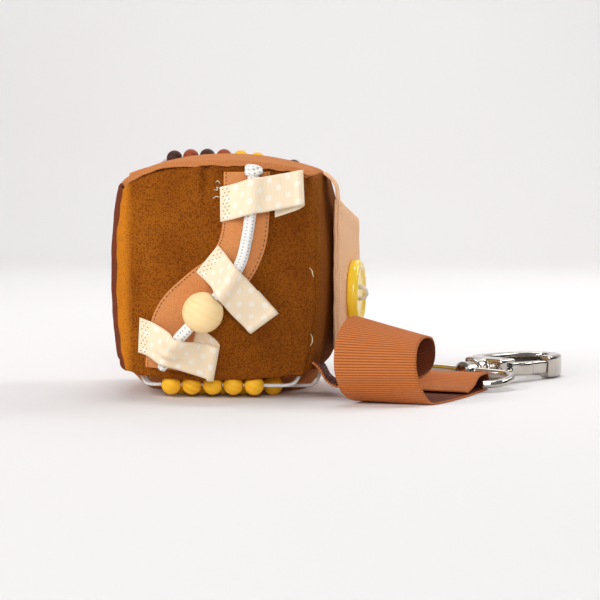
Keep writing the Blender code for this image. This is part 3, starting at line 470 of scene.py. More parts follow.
# %% Piece helpers
def new_object(name, bm):
    """A bmesh made into an object of the scene."""
    mesh = bpy.data.meshes.new(name)
    bm.to_mesh(mesh)
    bm.free()
    made = bpy.data.objects.new(name, mesh)
    bpy.context.scene.collection.objects.link(made)
    return made


def add_piece(name, bm, material, body, slot, nodes=()):
    piece = new_object(name, bm)
    piece.data.shade_smooth()
    piece.data.materials.append(material)
    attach(piece, body)
    if nodes:
        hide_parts(*nodes)
    return piece


def reach_of(points):
    """How far along a line each of its points is."""
    steps = [(Vector(b) - Vector(a)).length for a, b in zip(points, points[1:])]
    return [0.0, *np.cumsum(steps).tolist()]


def mapped_grid(columns, rows, place, width, closed=False, reach=None):
    """A grid bent by a rule: place takes a share from -1 to 1 across and one from 0 to 1 along."""
    reach = reach or reach_of([place(0, row / rows) for row in range(rows + 1)])
    bm = bmesh.new()
    layer = bm.loops.layers.uv.new("cloth_map")
    bmesh.ops.create_grid(bm, x_segments=columns, y_segments=rows, size=1)
    for face in bm.faces:
        for loop in face.loops:
            across, row = (loop.vert.co.x + 1) / 2, round((loop.vert.co.y + 1) / 2 * rows)
            loop[layer].uv = (across * width / cm, reach[row] / cm)
    for vertex in bm.verts:
        vertex.co = place(vertex.co.x, (vertex.co.y + 1) / 2)
    if closed:
        bmesh.ops.remove_doubles(bm, verts=bm.verts, dist=1e-6)
        bmesh.ops.holes_fill(bm, edges=[edge for edge in bm.edges if edge.is_boundary])
        bmesh.ops.recalc_face_normals(bm, faces=bm.faces)
    return bm


def slot_of(finish):
    """The slot that a finish of the same name fills; the frame holds the bare name, so ours has a number."""
    return finish.name.split(".")[0]


def refine(piece, corners="ALL"):
    finer = piece.modifiers.new("finer", "SUBSURF")
    finer.levels = finer.render_levels = 1
    finer.boundary_smooth = corners


def give_wall(piece, thickness, offset=0.0):
    wall = piece.modifiers.new("wall", "SOLIDIFY")
    wall.thickness = thickness
    wall.offset = offset
    wall.use_even_offset = True
    return piece


def smooth_points(points, count):
    """Points on a curve through the given ones."""
    table = np.array(points, float)
    table = np.vstack([2 * table[0] - table[1], table, 2 * table[-1] - table[-2]])
    spans = len(table) - 3
    made = []
    for step in range(count + 1):
        place = min(spans * step / count, spans - 1e-9)
        first = int(place)
        t = place - first
        a, b, c, d = table[first : first + 4]
        made.append(
            0.5 * (2 * b + (c - a) * t + (2 * a - 5 * b + 4 * c - d) * t**2 + (3 * b - a - 3 * c + d) * t**3)
        )
    return made


def sweep(points, radius, sides, radii=None, relief=None):
    """A round tube along points, capped, with a map that runs round it and along it."""
    line = [Vector(point) for point in points]
    reach = reach_of(line)
    ways = [(line[min(i + 1, len(line) - 1)] - line[max(i - 1, 0)]).normalized() for i in range(len(line))]
    up = ways[0].orthogonal().normalized()
    frames = []
    for way in ways:
        up = (up - way * up.dot(way)).normalized()
        frames.append((up, way.cross(up)))

    def place(across, along):
        index = round(along * (len(line) - 1))
        angle = math.pi * across
        swell = (radii[index] if radii else 1) * (1 + (relief(across, reach[index]) if relief else 0))
        first, second = frames[index]
        return line[index] + (first * math.cos(angle) + second * math.sin(angle)) * radius * swell

    return mapped_grid(sides, len(line) - 1, place, cm, True, reach)


def twist(depth, lay):
    """A relief for a tube: three strands laid round it."""
    return lambda across, reach: depth * math.sin(3 * math.pi * across + reach / lay)


def pointing(place, way):
    """The matrix that moves the origin to a place and turns the Z axis along a way."""
    return Matrix.Translation(place) @ way.to_track_quat("Z", "X").to_matrix().to_4x4()


def stitch(bm, start, end, radius):
    """One short stitch: a stretched ball between two points."""
    made = bmesh.ops.create_icosphere(bm, subdivisions=1, radius=1)
    size = Matrix.Diagonal((radius, radius, (end - start).length / 2, 1))
    bmesh.ops.transform(bm, matrix=pointing((start + end) / 2, end - start) @ size, verts=made["verts"])


def spin_profile(points, closed, steps, place):
    """Radii and heights spun about the Z axis, with the seam and the poles merged, then put in place."""
    bm = bmesh.new()
    profile = [bm.verts.new((radius, 0, height)) for radius, height in points]
    edges = [bm.edges.new(pair) for pair in zip(profile, profile[1:] + profile[:closed])]
    bmesh.ops.spin(
        bm, geom=profile + edges, cent=(0, 0, 0), axis=(0, 0, 1), angle=2 * math.pi, steps=steps, use_merge=True
    )
    bmesh.ops.remove_doubles(bm, verts=bm.verts, dist=1e-6)
    bmesh.ops.recalc_face_normals(bm, faces=bm.faces)
    bmesh.ops.transform(bm, matrix=place, verts=bm.verts)
    return bm


print("piece helpers ready")

# %% [markdown]
# ## The stuffed cube
# A stuffed cube gets its look from two forces: the filling pushes the cloth out, and the seams hold it
# in. A cloth simulation does just that. The cube starts a little small, its seams are pinned, the cloth
# is allowed to grow a few hundredths, and air pressure inflates it for twenty frames. Where cloth meets
# a pinned seam it buckles into small puckers, as sewn velvet does. How far a point may travel is capped,
# so the result stays on the cube's rule and the pieces sewn on it still sit on the cloth.


# %% Inflate a pinned mesh
def inflate(bm, pins, growth, pressure, cap, scale=8.0, frames=20):
    """Blows cloth up against its pinned points; returns the moved places of the vertices."""
    start = [vertex.co.copy() for vertex in bm.verts]
    work = new_object("inflating", bm.copy())
    work.data.transform(Matrix.Scale(scale, 4))
    group = work.vertex_groups.new(name="seam")
    for index, weight in pins.items():
        group.add([index], weight, "REPLACE")
    cloth = work.modifiers.new("cloth", "CLOTH")
    settings = cloth.settings
    settings.quality = 6
    settings.mass = 0.2
    settings.tension_stiffness = settings.compression_stiffness = 12
    settings.bending_stiffness = 0.25
    settings.vertex_group_mass = "seam"
    settings.shrink_min = -growth
    settings.use_pressure = True
    settings.uniform_pressure_force = pressure
    settings.effector_weights.gravity = 0
    cloth.point_cache.frame_start = 1
    cloth.point_cache.frame_end = frames
    for number in range(1, frames + 1):
        bpy.context.scene.frame_set(number)
    grown = work.evaluated_get(bpy.context.evaluated_depsgraph_get())
    moved = [vertex.co / scale for vertex in grown.data.vertices]
    bpy.data.objects.remove(work, do_unlink=True)
    bpy.context.scene.frame_set(1)
    places = []
    for before, after in zip(start, moved):
        step = after - before
        places.append(before + step * min(1, cap / max(step.length, 1e-9)))
    print("furthest travel", round(max((a - b).length for a, b in zip(places, start)) / mm, 2), "mm")
    return places


def side_of(q):
    """Which panel a point of the unit cube's face belongs to."""
    axis = max(range(3), key=lambda k: abs(q[k]))
    return (("left", "right"), ("front", "back"), ("bottom", "top"))[axis][q[axis] > 0]


panel_names = ["front", "back", "left", "right", "top", "bottom"]
cells = 44
cube = bmesh.new()
bmesh.ops.create_cube(cube, size=2)
bmesh.ops.subdivide_edges(cube, edges=cube.edges, cuts=cells - 1, use_grid_fill=True)
cube.faces.ensure_lookup_table()
cube.verts.ensure_lookup_table()
panel_layer = cube.faces.layers.int.new("panel")
for face in cube.faces:
    face[panel_layer] = panel_names.index(side_of(face.calc_center_median()))
unit_places = [vertex.co.copy() for vertex in cube.verts]
seam_pins = {}
for vertex, q in zip(cube.verts, unit_places):
    outer = sorted(abs(c) for c in q)
    seam_pins[vertex.index] = 1.0 if outer[1] > 0.999 else 0.0
    vertex.co = skin_point(q) * 0.988
seam_pins = {index: weight for index, weight in seam_pins.items() if weight > 0}
cube_places = inflate(cube, seam_pins, 0.05, 3.0, 0.9 * mm)
print("cube cloth:", len(cube.verts), "points,", len(seam_pins), "of them sewn")


# %% [markdown]
# ## Seams, puckers and the dart
# Real seams are never ruler-straight. The seam line wanders by half a millimetre, the cloth beside it
# puckers every few millimetres, and each panel tucks in where it meets its neighbour. The top panel tucks
# least: its suede lies over the velvet as a thick soft lip, which throws the dark line seen under it.

# %% Shape the six panels
seam_tuck = 0.6 * mm
# Where a seam or a corner was sewn off its place: a spot of the unit cube, and its shift in millimetres
seam_shifts = (
    ((-1, -1, 0), (0.9, -0.4, 0)),
    ((0, -1, -1), (0, -0.4, -1.9)),
    ((1, 0, -1), (-0.8, 0, -1.6)),
    ((-1, -1, 1), (0.8, 0.6, -2.0)),
    ((1, -1, 1), (-2.6, 0.6, -0.8)),
    ((-1, -1, -1), (1.6, 0, 1.6)),
    ((1, -1, -1), (-2.6, 0, -1.0)),
)


# The dart at the front's top, a pinched fold between two swells: where it is, how wide and how deep
dart_folds = ((-3.7, 1.1, 3.3), (-6.2, 1.8, -0.9), (-1.2, 1.8, -0.9))


def wander(q):
    """A slow drift of the seams, the same for both panels that share one."""
    drift = noise.noise_vector(Vector(q) * 2.6 + Vector((3.1, 7.7, 1.9)))
    finer = noise.noise_vector(Vector(q) * 9.0)
    moved = drift * 0.8 + finer * 0.35
    for spot, shift in seam_shifts:
        least = min(c * s for c, s in zip(q, spot) if s)
        share = min(1, max(0, (least - 0.7) / 0.3))
        moved += Vector(shift) * share * share * (3 - 2 * share)
    return moved * mm


def panel_cloth(name):
    """One panel cut from the inflated cube, with its seam allowance tucked in."""
    bm = cube.copy()
    layer = bm.faces.layers.int["panel"]
    bm.verts.ensure_lookup_table()
    number = panel_names.index(name)
    others = [face for face in bm.faces if face[layer] != number]
    for vertex, place, q in zip(bm.verts, cube_places, unit_places):
        outer = sorted(abs(c) for c in q)
        near = (1 - outer[1]) * cube_half
        out_way = place.normalized()
        edge = math.exp(-((near / (3.2 * mm)) ** 2))
        fold = math.exp(-((near / (1.3 * mm)) ** 2))
        along = noise.noise(Vector(place) / (5.5 * mm)) + 0.6 * noise.noise(Vector(place) / (2.6 * mm))
        pucker = along * 0.55 * mm * math.exp(-(((near - 2.2 * mm) / (3.4 * mm)) ** 2))
        moved = place + wander(q) * edge + out_way * (pucker - seam_tuck * fold)
        if name == "front":
            depth = min(1, max(0, (moved.z - 24 * mm) / (9 * mm)))
            for spot, width, sink in dart_folds:
                moved.y += sink * mm * depth * math.exp(-(((place.x - spot * mm) / (width * mm)) ** 2))
        if name == "top":
            corner = math.exp(-((math.hypot(q.x + 1, q.y + 1) * cube_half / (5 * mm)) ** 2))
            moved += Vector((3, 0.8, -1.4)) * mm * corner
            moved.z -= 0.7 * mm * (1 - edge)
        if name == "right":
            for spot, swell in ((-22, 3), (20, 2.5)):
                away = ((moved.y - 7 * mm) / (15 * mm)) ** 2 + ((moved.z - spot * mm) / (14 * mm)) ** 2
                moved.x += swell * mm * math.exp(-away)
        if name == "bottom":
            moved.z += 0.9 * mm * math.exp(-(((moved.y + 27 * mm) / (11 * mm)) ** 2))
            moved.z = max(moved.z, -centre_z)
        vertex.co = moved + Vector((0, 0, centre_z))
    bmesh.ops.delete(bm, geom=others, context="FACES")
    return bm


finishes = dict.fromkeys(("front", "back", "right"), velvet)
finishes |= {"left": maroon_suede, "top": tan_suede, "bottom": tan_suede}


def lip_point(across, along):
    """A strip of the top's suede, from just behind the front seam to just below it."""
    t = -0.84 + 1.78 * along
    wave = 1 + 0.4 * noise.noise(Vector((t * 4.0, 0.7, 0.2))) + 0.2 * noise.noise(Vector((t * 17.0, 2.2, 0.4)))
    wave += 0.9 * math.exp(-(((t + 0.84) / 0.12) ** 2))
    back, down = max(0, -across), max(0, across)
    place = skin_point(Vector((t, -1 + 0.12 * back, 1 - 0.058 * down * wave)))
    lift = (0.9 - 0.7 * back + 0.3 * down + 0.12 * noise.noise(place / (1.2 * mm)) * down) * mm
    return place + place.normalized() * lift + Vector((0, 0, centre_z))


lip_width = reach_of([lip_point(across, 0.5) for across in np.linspace(-1, 1, 21)])[-1]
lip = add_piece("top_lip", mapped_grid(14, 220, lip_point, lip_width), tan_suede, "cube", "tan_suede")
give_wall(lip, 0.9 * mm, -1.0)

for name in panel_names:
    finish = finishes[name]
    panel = add_piece(f"{name}_cloth", panel_cloth(name), finish, "cube", slot_of(finish), [f"{name}_panel"])
    refine(panel, "PRESERVE_CORNERS")
    give_wall(panel, 0.9 * mm, -1.0)
    height = 80 * mm if name in ("top", "bottom") else 82 * mm

fill = cube.copy()
for vertex, place, q in zip(fill.verts, cube_places, unit_places):
    near = (1 - sorted(abs(c) for c in q)[1]) * cube_half
    vertex.co = place * (0.955 - 0.035 * math.exp(-((near / (5 * mm)) ** 2))) + Vector((0, 0, centre_z))
fill_piece = add_piece("cushion_fill", fill, fill_cloth, "cube", "polyester_fill", ["stuffing"])
print("panels:", ", ".join(panel_names))

# %% [markdown]
# ## The road
# A curved strip of tan suede is sewn on the front. It is a thin sheet with cut edges, topstitched just
# inside them with dark thread. The strip follows a middle line given in shares of the cube's half width,
# and each stitch is a tiny ball stretched between two points of a line beside it.

# %% Road and its topstitch
road_half_width = 8.6 * mm
road_thickness = 1.2 * mm
piece_gap = 0.3 * mm
road_shares = (
    (0.285, 0.93),
    (0.285, 0.62),
    (0.255, 0.30),
    (0.12, 0.03),
    (-0.11, -0.15),
    (-0.33, -0.36),
    (-0.42, -0.60),
    (-0.445, -0.87),
)
road_steps, road_rows, road_stitches = 160, 120, 66
road_line = smooth_points(road_shares, road_steps)


def road_point(side, along, lift):
    spot = min(along * road_steps, road_steps - 0.001)
    first = int(spot)
    here = road_line[first] + (road_line[first + 1] - road_line[first]) * (spot - first)
    way = road_line[first + 1] - road_line[first]
    way = way / np.linalg.norm(way)
    flat = here * cube_half + np.array((way[1], -way[0])) * side * road_half_width
    return on_face("front", flat[0], flat[1], lift)


road_lift = piece_gap + road_thickness


def road_middle(across, along):
    return road_point(across, along, road_lift * 0.5)


road = mapped_grid(18, road_rows, road_middle, 2 * road_half_width)
road_length = reach_of([road_middle(0, step / road_rows) for step in range(road_rows + 1)])[-1]
# The road takes the lighter copy of the tan suede: painted light
road_piece = add_piece("lit_road_suede", road, lit_road_suede, "cube", "tan_suede", ["road_applique"])
give_wall(road_piece, road_thickness)
soft = road_piece.modifiers.new("soft_edge", "BEVEL")
soft.width = 0.3 * mm
soft.segments = 2
soft.limit_method = "ANGLE"

stitches = bmesh.new()
for side in (-0.89, 0.89):
    for number in range(road_stitches):
        shares = [(number + step) / road_stitches for step in (0.2, 0.75)]
        ends = [road_point(side, share, road_lift + 0.02 * mm) for share in shares]
        stitch(stitches, ends[0], ends[1], 0.2 * mm)
print("road length", round(road_length / mm), "mm, stitches", 2 * road_stitches)
add_piece("road_stitches", stitches, dark_thread, "cube", "tan_suede")

# %% [markdown]
# ## The cord and its bead
# The braided cord starts at a knot at the top, runs down the road under the ribbons, lifts through the
# big bead and dives under the last ribbon. It is held all the way, so it isn't a free cord. Its tube is
# swept along a smooth line, with the braid raised on it: two families of strands that cross.

# %% Cord route and braid
cord_diameter = 4.4 * mm
bead_diameter = 15.2 * mm
cord_lift = road_lift + piece_gap * 1.5 + cord_diameter / 2
bead_lift = road_lift + piece_gap + bead_diameter / 2
bead_shares = (-0.078, -0.312)
run_shares = (-0.675, -0.738)
run_before, run_after = 9.5 * mm, 13 * mm
cord_top_shares = (
    (0.355, 0.985),
    (0.35, 0.90),
    (0.34, 0.72),
    (0.325, 0.54),
    (0.295, 0.33),
    (0.245, 0.12),
    (0.165, -0.02),
)
cord_end_shares = ((-0.375, -0.665), (-0.435, -0.755), (-0.49, -0.86))


def on_front(shares, lift):
    return on_face("front", shares[0] * cube_half, shares[1] * cube_half, lift)


bead_middle = on_front(bead_shares, bead_lift)
bead_way = on_front([a + b * 0.1 for a, b in zip(bead_shares, run_shares)], bead_lift) - bead_middle
bead_way.y = 0
bead_way.normalize()


def cord_line(count):
    rise = bead_lift - cord_lift
    lifts = [cord_lift] * 5 + [cord_lift + rise * 0.35, cord_lift + rise * 0.85]
    route = [on_front(shares, lift) for shares, lift in zip(cord_top_shares, lifts)]
    route += [bead_middle - bead_way * run_before, bead_middle, bead_middle + bead_way * run_after]
    lifts = [cord_lift + rise * 0.6, cord_lift, cord_lift]
    route += [on_front(shares, lift) for shares, lift in zip(cord_end_shares, lifts)]
    line = []
    for point in smooth_points([tuple(p) for p in route], count):
        here = Vector(point)
        along = (here - bead_middle).dot(bead_way)
        if -run_before < along < run_after and (here - bead_middle).length < run_after * 1.2:
            here = bead_middle + bead_way * along
        line.append(here)
    return line


def front_place(point):
    """The flat place on the front and the lift of a point in space."""
    flat = Vector((point.x, point.z - centre_z))
    for _ in range(5):
        base = on_face("front", flat.x, flat.y)
        normal = (on_face("front", flat.x, flat.y, cube_half) - base).normalized()
        lift = (point - base).dot(normal)
        flat = Vector((point.x - normal.x * lift, point.z - centre_z - normal.z * lift))
    return flat.x, flat.y, lift


cord_coarse = cord_line(48)
cord_flat = [front_place(point) for point in cord_coarse]
cord_fine = cord_line(480)
# The cord's ends: rounded off inside the knot at the top, and tapered at the bottom
cord_swell, end_steps = [1.0] * len(cord_fine), 24
for index in range(end_steps):
    share = index / end_steps
    cord_swell[index] = min(1, 0.2 + index / 8) ** 0.5 * (1 + 0.12 * math.sin(math.pi * share))
    cord_swell[-1 - index] = 0.55 + 0.45 * share**0.5


def braid_relief(across, reach):
    turn_phase = 3 * math.pi * across
    lay = 2 * math.pi * reach / braid_lay
    return 0.05 * math.sin(turn_phase + lay) * math.sin(turn_phase - lay)


cord = sweep(cord_fine, cord_diameter / 2 * 0.97, 40, cord_swell, braid_relief)
add_piece("braided_cord", cord, braid, "cube", "white_cord", ["road_cord"])
down = (cord_fine[30] - cord_fine[0]).normalized()
aside = Vector((1, 0, 0)) - down * down.x
turns, knot_steps, knot_turns = [], 60, 1.6
for step in range(knot_steps + 1):
    angle = 2 * math.pi * knot_turns * step / knot_steps + 0.9
    out = aside * math.cos(angle) + down.cross(aside) * math.sin(angle) * 0.75
    drop = (0.7 + 2.6 * step / knot_steps + 0.7 * math.sin(angle)) * mm
    turns.append(cord_fine[0] + down * drop + out * 2.1 * mm)
fading = [min(1, 0.35 + min(step, knot_steps - step) / 8) for step in range(knot_steps + 1)]
add_piece("cord_knot", sweep(turns, 1.35 * mm, 24, fading, braid_relief), braid, "cube", "white_cord")
print("cord length:", round(sum((b - a).length for a, b in zip(cord_fine, cord_fine[1:])) / mm), "mm")


# %% [markdown]
# ## Turned beads
# A bead is a ball turned on a lathe with a bore through it, and the wood curls softly into the bore. Its
# half profile is spun about the bore's axis. The spin must merge its last ring with its first, or a seam
# of doubled points stays in the bead.


# %% Bead by spinning a profile
def turned_bead(diameter, bore, middle, way, steps=40):
    radius, least, rounds = diameter / 2, math.asin(bore / diameter), 18
    angles = [least + (math.pi - 2 * least) * step / rounds for step in range(rounds + 1)]
    outline = [(radius * math.sin(angle), radius * math.cos(angle)) for angle in angles]
    outline += [(bore / 2 * 0.96, radius * share * math.cos(least)) for share in (-0.86, -0.5, 0, 0.5, 0.86)]
    return spin_profile(outline, True, steps, pointing(middle, Vector(way)))


big = turned_bead(bead_diameter, cord_diameter + 0.6 * mm, bead_middle, bead_way, 64)
add_piece("big_bead", big, pale_wood, "road_bead", "pale_wood", ["road_bead"])
print("big bead at", [round(c / mm, 1) for c in bead_middle])

# %% [markdown]
# ## Ribbon tunnels
# Each tunnel is a length of ribbon, sewn flat at its left end, lifted over the cord, and folded under
# itself at the right. The fold and the lift are one side view, drawn as a row of points along the ribbon
# and carried across its width. The cord lies skew under the ribbon, so the side view is worked out anew
# for each place across: the arch always stands right over the cord.

# %% Ribbons
ribbon_width, ribbon_thickness, ribbon_fold = 12.7 * mm, 0.7 * mm, 1.6 * mm
ribbon_base = road_lift + piece_gap + ribbon_thickness / 2
ribbon_back = piece_gap + ribbon_thickness / 2
ribbon_face = ribbon_back + 2 * ribbon_fold
# Each ribbon's start on the front, its angle, how far it reaches and how far it comes back, how its tail
# veers off, and in millimetres how much shorter the tail is cut and how far it slips aside
tunnel_shares = {
    "top": ((0.050, 0.632), 11.9, 2.457, 1.64, -0.1, 0.6, -1.3),
    "middle": ((-0.064, 0.147), -48.6, 2.496, 1.67, 0.0, 0, 0),
    "bottom": ((-0.700, -0.550), -19.9, 2.425, 1.80, 0.28, 2.6, 1.8),
}
# The scissors didn't go square across: how far the two ends lean, as a slope
end_slopes = {"top": (0.186, 0.16), "middle": (-0.164, 0.09), "bottom": (-0.284, -0.15)}


def cord_crossing(start, way, side, across, reach):
    """How far along a ribbon the cord passes under it, and its greatest lift there."""
    for first, second in zip(cord_flat, cord_flat[1:]):
        spots = [Vector(point[:2]) - start for point in (first, second)]
        offsets = [spot.dot(side) - across for spot in spots]
        if offsets[0] * offsets[1] <= 0 and offsets[0] != offsets[1]:
            t = offsets[0] / (offsets[0] - offsets[1])
            along = spots[0].lerp(spots[1], t).dot(way)
            if 0 < along < reach:
                return along, max(first[2], second[2])
    return reach / 2, cord_lift


ribbon_rows = 120


def ribbon_cloth(name):
    start_shares, degrees, reach_share, back_share, veer, trim, slip = tunnel_shares[name]
    start = Vector(start_shares) * cube_half
    reach, back = reach_share * ribbon_width, back_share * ribbon_width - trim * mm
    angle = math.radians(degrees)
    way = Vector((math.cos(angle), math.sin(angle)))
    side = Vector((-way.y, way.x))
    shoulder = cord_diameter

    def lean(far):
        first, last = end_slopes[name]
        return first + (last - first) * min(1, far / reach)

    def side_view(across):
        crossing, lift = cord_crossing(start, way, side, across, reach)
        crossing -= across * lean(crossing)
        peak = lift + cord_diameter / 2 + piece_gap * 2 + ribbon_thickness
        rows = (
            (0, ribbon_base),
            (crossing * 0.3, ribbon_base),
            (crossing - shoulder, (ribbon_base + peak) / 2),
            (crossing - shoulder / 3, peak),
            (crossing + shoulder / 3, peak),
            (crossing + shoulder * 1.2, ribbon_face + (peak - ribbon_face) * 0.5),
            (reach - ribbon_fold * 3, ribbon_face),
            (reach - ribbon_fold, ribbon_face),
            (reach, (ribbon_face + ribbon_back) / 2),
            (reach - ribbon_fold, ribbon_back),
            (reach - ribbon_fold * 3, ribbon_back),
            (back, ribbon_back),
        )
        line = smooth_points(rows, ribbon_rows)
        turn_row = ribbon_rows * 7 // 11
        return [(p[0], max(p[1], ribbon_base if i < turn_row else ribbon_back)) for i, p in enumerate(line)]

    views = {across: side_view(across * ribbon_width / 2) for across in np.linspace(-1, 1, 13)}
    front = ribbon_rows * 8 // 11

    def place(across, along):
        line = views[min(views, key=lambda known: abs(known - across))]
        row = round(along * ribbon_rows)
        far, lift = line[row]
        aside = across * ribbon_width / 2
        if row > front:
            aside += veer * (line[front][0] - far) + slip * mm * (1 - math.exp(-(row - front) / 9))
        elif across < 0 and name == "middle":
            aside += 1.6 * mm * math.exp(-(((far - 10.5 * mm) / (6 * mm)) ** 2)) * -across
        flat = start + way * (far + aside * lean(far)) + side * aside
        return on_face("front", flat.x, flat.y, lift)

    length = reach_of([place(0, row / ribbon_rows) for row in range(ribbon_rows + 1)])[-1]
    return mapped_grid(12, ribbon_rows, place, ribbon_width), length, (start, way, side)


ribbon_stitches = bmesh.new()
for name in tunnel_shares:
    ribbon, length, (start, way, side) = ribbon_cloth(name)
    piece = add_piece(f"ribbon_{name}", ribbon, dot_ribbon, "cube", "cream_ribbon", [f"ribbon_loop_{name}"])
    give_wall(piece, ribbon_thickness * 0.75)
    for row in range(2):
        for number in range(9):
            across = (-0.82 + 1.64 * number / 8) * ribbon_width / 2
            zig = (0.35 if number % 2 else -0.35) * mm
            along = (1.5 + row * 1.5) * mm + zig
            ends = []
            for step in (-0.28 * mm, 0.28 * mm):
                flat = start + way * (along + step + across * end_slopes[name][0]) + side * (across + step)
                ends.append(on_face("front", flat.x, flat.y, ribbon_base + ribbon_thickness * 0.4))
            stitch(ribbon_stitches, ends[0], ends[1], 0.15 * mm)
    print(f"ribbon {name}: {length / mm:.0f} mm of ribbon")
add_piece("ribbon_stitches", ribbon_stitches, brown_thread, "cube", "cream_ribbon")

# %% [markdown]
# ## Loose threads
# A hand-sewn toy has a few: two curls of pale thread lie on the velvet near the right seam, and the top
# ribbon's cut end frays into the road. Each is a short thin tube along a few points on the front.

# %% Loose threads
stray_lines = {
    "curl_upper": ((35.0, 2.6, 0.6), (35.9, 1.6, 1.4), (36.2, 0.2, 1.2), (36.6, -0.9, 0.6)),
    "curl_lower": ((35.4, -22.0, 0.6), (36.0, -23.4, 1.3), (35.9, -25.2, 1.1), (35.3, -26.6, 0.5)),
    "fray_one": ((1.9, 31.8, 1.6), (0.8, 32.4, 2.1), (0.9, 31.2, 2.0), (-0.4, 31.6, 1.4)),
    "fray_two": ((2.1, 28.6, 1.6), (0.6, 28.9, 1.9), (-0.9, 28.2, 1.4)),
    "fray_three": ((2.0, 33.6, 1.6), (1.1, 34.6, 2.2), (0.2, 34.1, 1.6)),
}
for name, points in stray_lines.items():
    line = [on_face("front", a * mm, b * mm, lift * mm) for a, b, lift in points]
    fading = [1 - 0.6 * abs(step / 12 - 1) for step in range(25)]
    strand = sweep(smooth_points([tuple(p) for p in line], 24), 0.22 * mm, 8, fading)
    add_piece(f"thread_{name}", strand, cream_thread, "cube", "cream_ribbon")
print("loose threads:", len(stray_lines))

# %% [markdown]
# ## Bead strands
# Three strings carry small dyed beads: two under the front edge and one along the top's back edge. The
# beads slide in trains, so each one rides on its own body. The string is a thin twisted cord that drops
# back into the seam at both ends. The upper one lies in a shallow arc over the crown of the cube.

# %% Small beads and strings
small_diameter, top_diameter, string_diameter = 7.6 * mm, 6.6 * mm, 1.3 * mm
bore = string_diameter + 0.6 * mm
pitch_front = small_diameter + 0.3 * mm


def bottom_seam(x, y):
    u, v = x / cube_half, y / cube_half
    for _ in range(14):
        found = skin_point(Vector((u, v, -1)))
        u += (x - found.x) / cube_half
        v += (y - found.y) / cube_half
    return Vector((x, y, found.z + centre_z - piece_gap - string_diameter / 2))


def string_piece(name, knots, node):
    """A string through a row of points, smooth only where it leaves the straight."""
    line = []
    for first, second in zip(knots, knots[1:]):
        parts_here = max(2, round((second - first).length / (1.2 * mm)))
        line += [first.lerp(second, step / parts_here) for step in range(parts_here)]
    line.append(knots[-1])
    for _ in range(2):
        line = [line[0]] + [(a + b * 2 + c) / 4 for a, b, c in zip(line, line[1:], line[2:])] + [line[-1]]
    string = sweep(line, string_diameter / 2, 12, relief=twist(0.05, 0.2 * mm))
    add_piece(name, string, white_thread, "cube", "white_cord", [node])


def small_bead(node, diameter, middle, way, finish):
    bead = turned_bead(diameter, bore, middle, way)
    add_piece(f"{node}_turned", bead, finish, node, slot_of(finish), [node])


rows = {
    "front": [(-17.9 * mm + step * pitch_front, -32.5 * mm, 4.9 * mm) for step in range(5)],
    "rear": [(-15.5 * mm + step * pitch_front, -22 * mm, 3.8 * mm) for step in range(4)]
    + [(19.8 * mm, -22 * mm, 3.8 * mm)],
}
for row, places in rows.items():
    for number, middle in enumerate(places):
        small_bead(f"{row}_bead_{number + 1}", small_diameter, middle, (1, 0, 0), yellow_wood)
    y, z = places[0][1:]
    last = {"front": 31.5, "rear": 38.5}[row]
    run = [(-29, 0.8, 1.9), (-27.3, 0, 0.05), (22.5, 0, 0), (last - 4.5, 0, 0.1), (last - 2, 0.4, 0.9)]
    run = [Vector((x * mm, y + back * mm, z + up * mm)) for x, back, up in run]
    ends = [bottom_seam(-30 * mm, y + 3 * mm), bottom_seam(last * mm, y + 1.5 * mm)]
    string_piece(f"{row}_string", [ends[0], *run, ends[1]], f"{row}_bead_string")


def top_arc(x):
    radius, lean = 125 * mm, math.radians(29)
    angle = math.asin((x + 13.7 * mm) / radius)
    down = Vector((0, math.sin(lean), -math.cos(lean)))
    crown = Vector((x, cube_half * 0.966, centre_z + top_half * 0.976))
    middle = crown + down * radius * (1 - math.cos(angle))
    return middle, Vector((math.cos(angle), 0, 0)) + down * math.sin(angle)


woods = [dark_wood, rust_wood] * 2 + [yellow_wood] * 2 + [dark_wood]
top_places = [-27.5 * mm + step * (top_diameter + 0.3 * mm) for step in range(6)] + [21.8 * mm]
for number, (x, finish) in enumerate(zip(top_places, woods)):
    small_bead(f"top_bead_{number + 1}", top_diameter, *top_arc(x), finish)
beside = Vector((0, string_diameter * 0.7, centre_z))
ends = [skin_point(Vector((sign * 0.93, 1, 1))) + beside for sign in (-1, 1)]
arc = [top_arc((-32.6 + (28.4 + 32.6) * step / 16) * mm)[0] for step in range(17)]
string_piece("top_string", [ends[0], *arc, ends[1]], "top_bead_string")
print("small beads:", len(rows["front"]) + len(rows["rear"]) + len(top_places))

# %% [markdown]
# ## The flap
# The flap is two plies of linen over a thin wadding, sewn round the edge. It is inflated like the cube,
# pinned along the middle of its edge, so the faces swell between the seams and pucker beside them. A
# narrow tab of the same cloth carries it from the top seam, and turns with it.

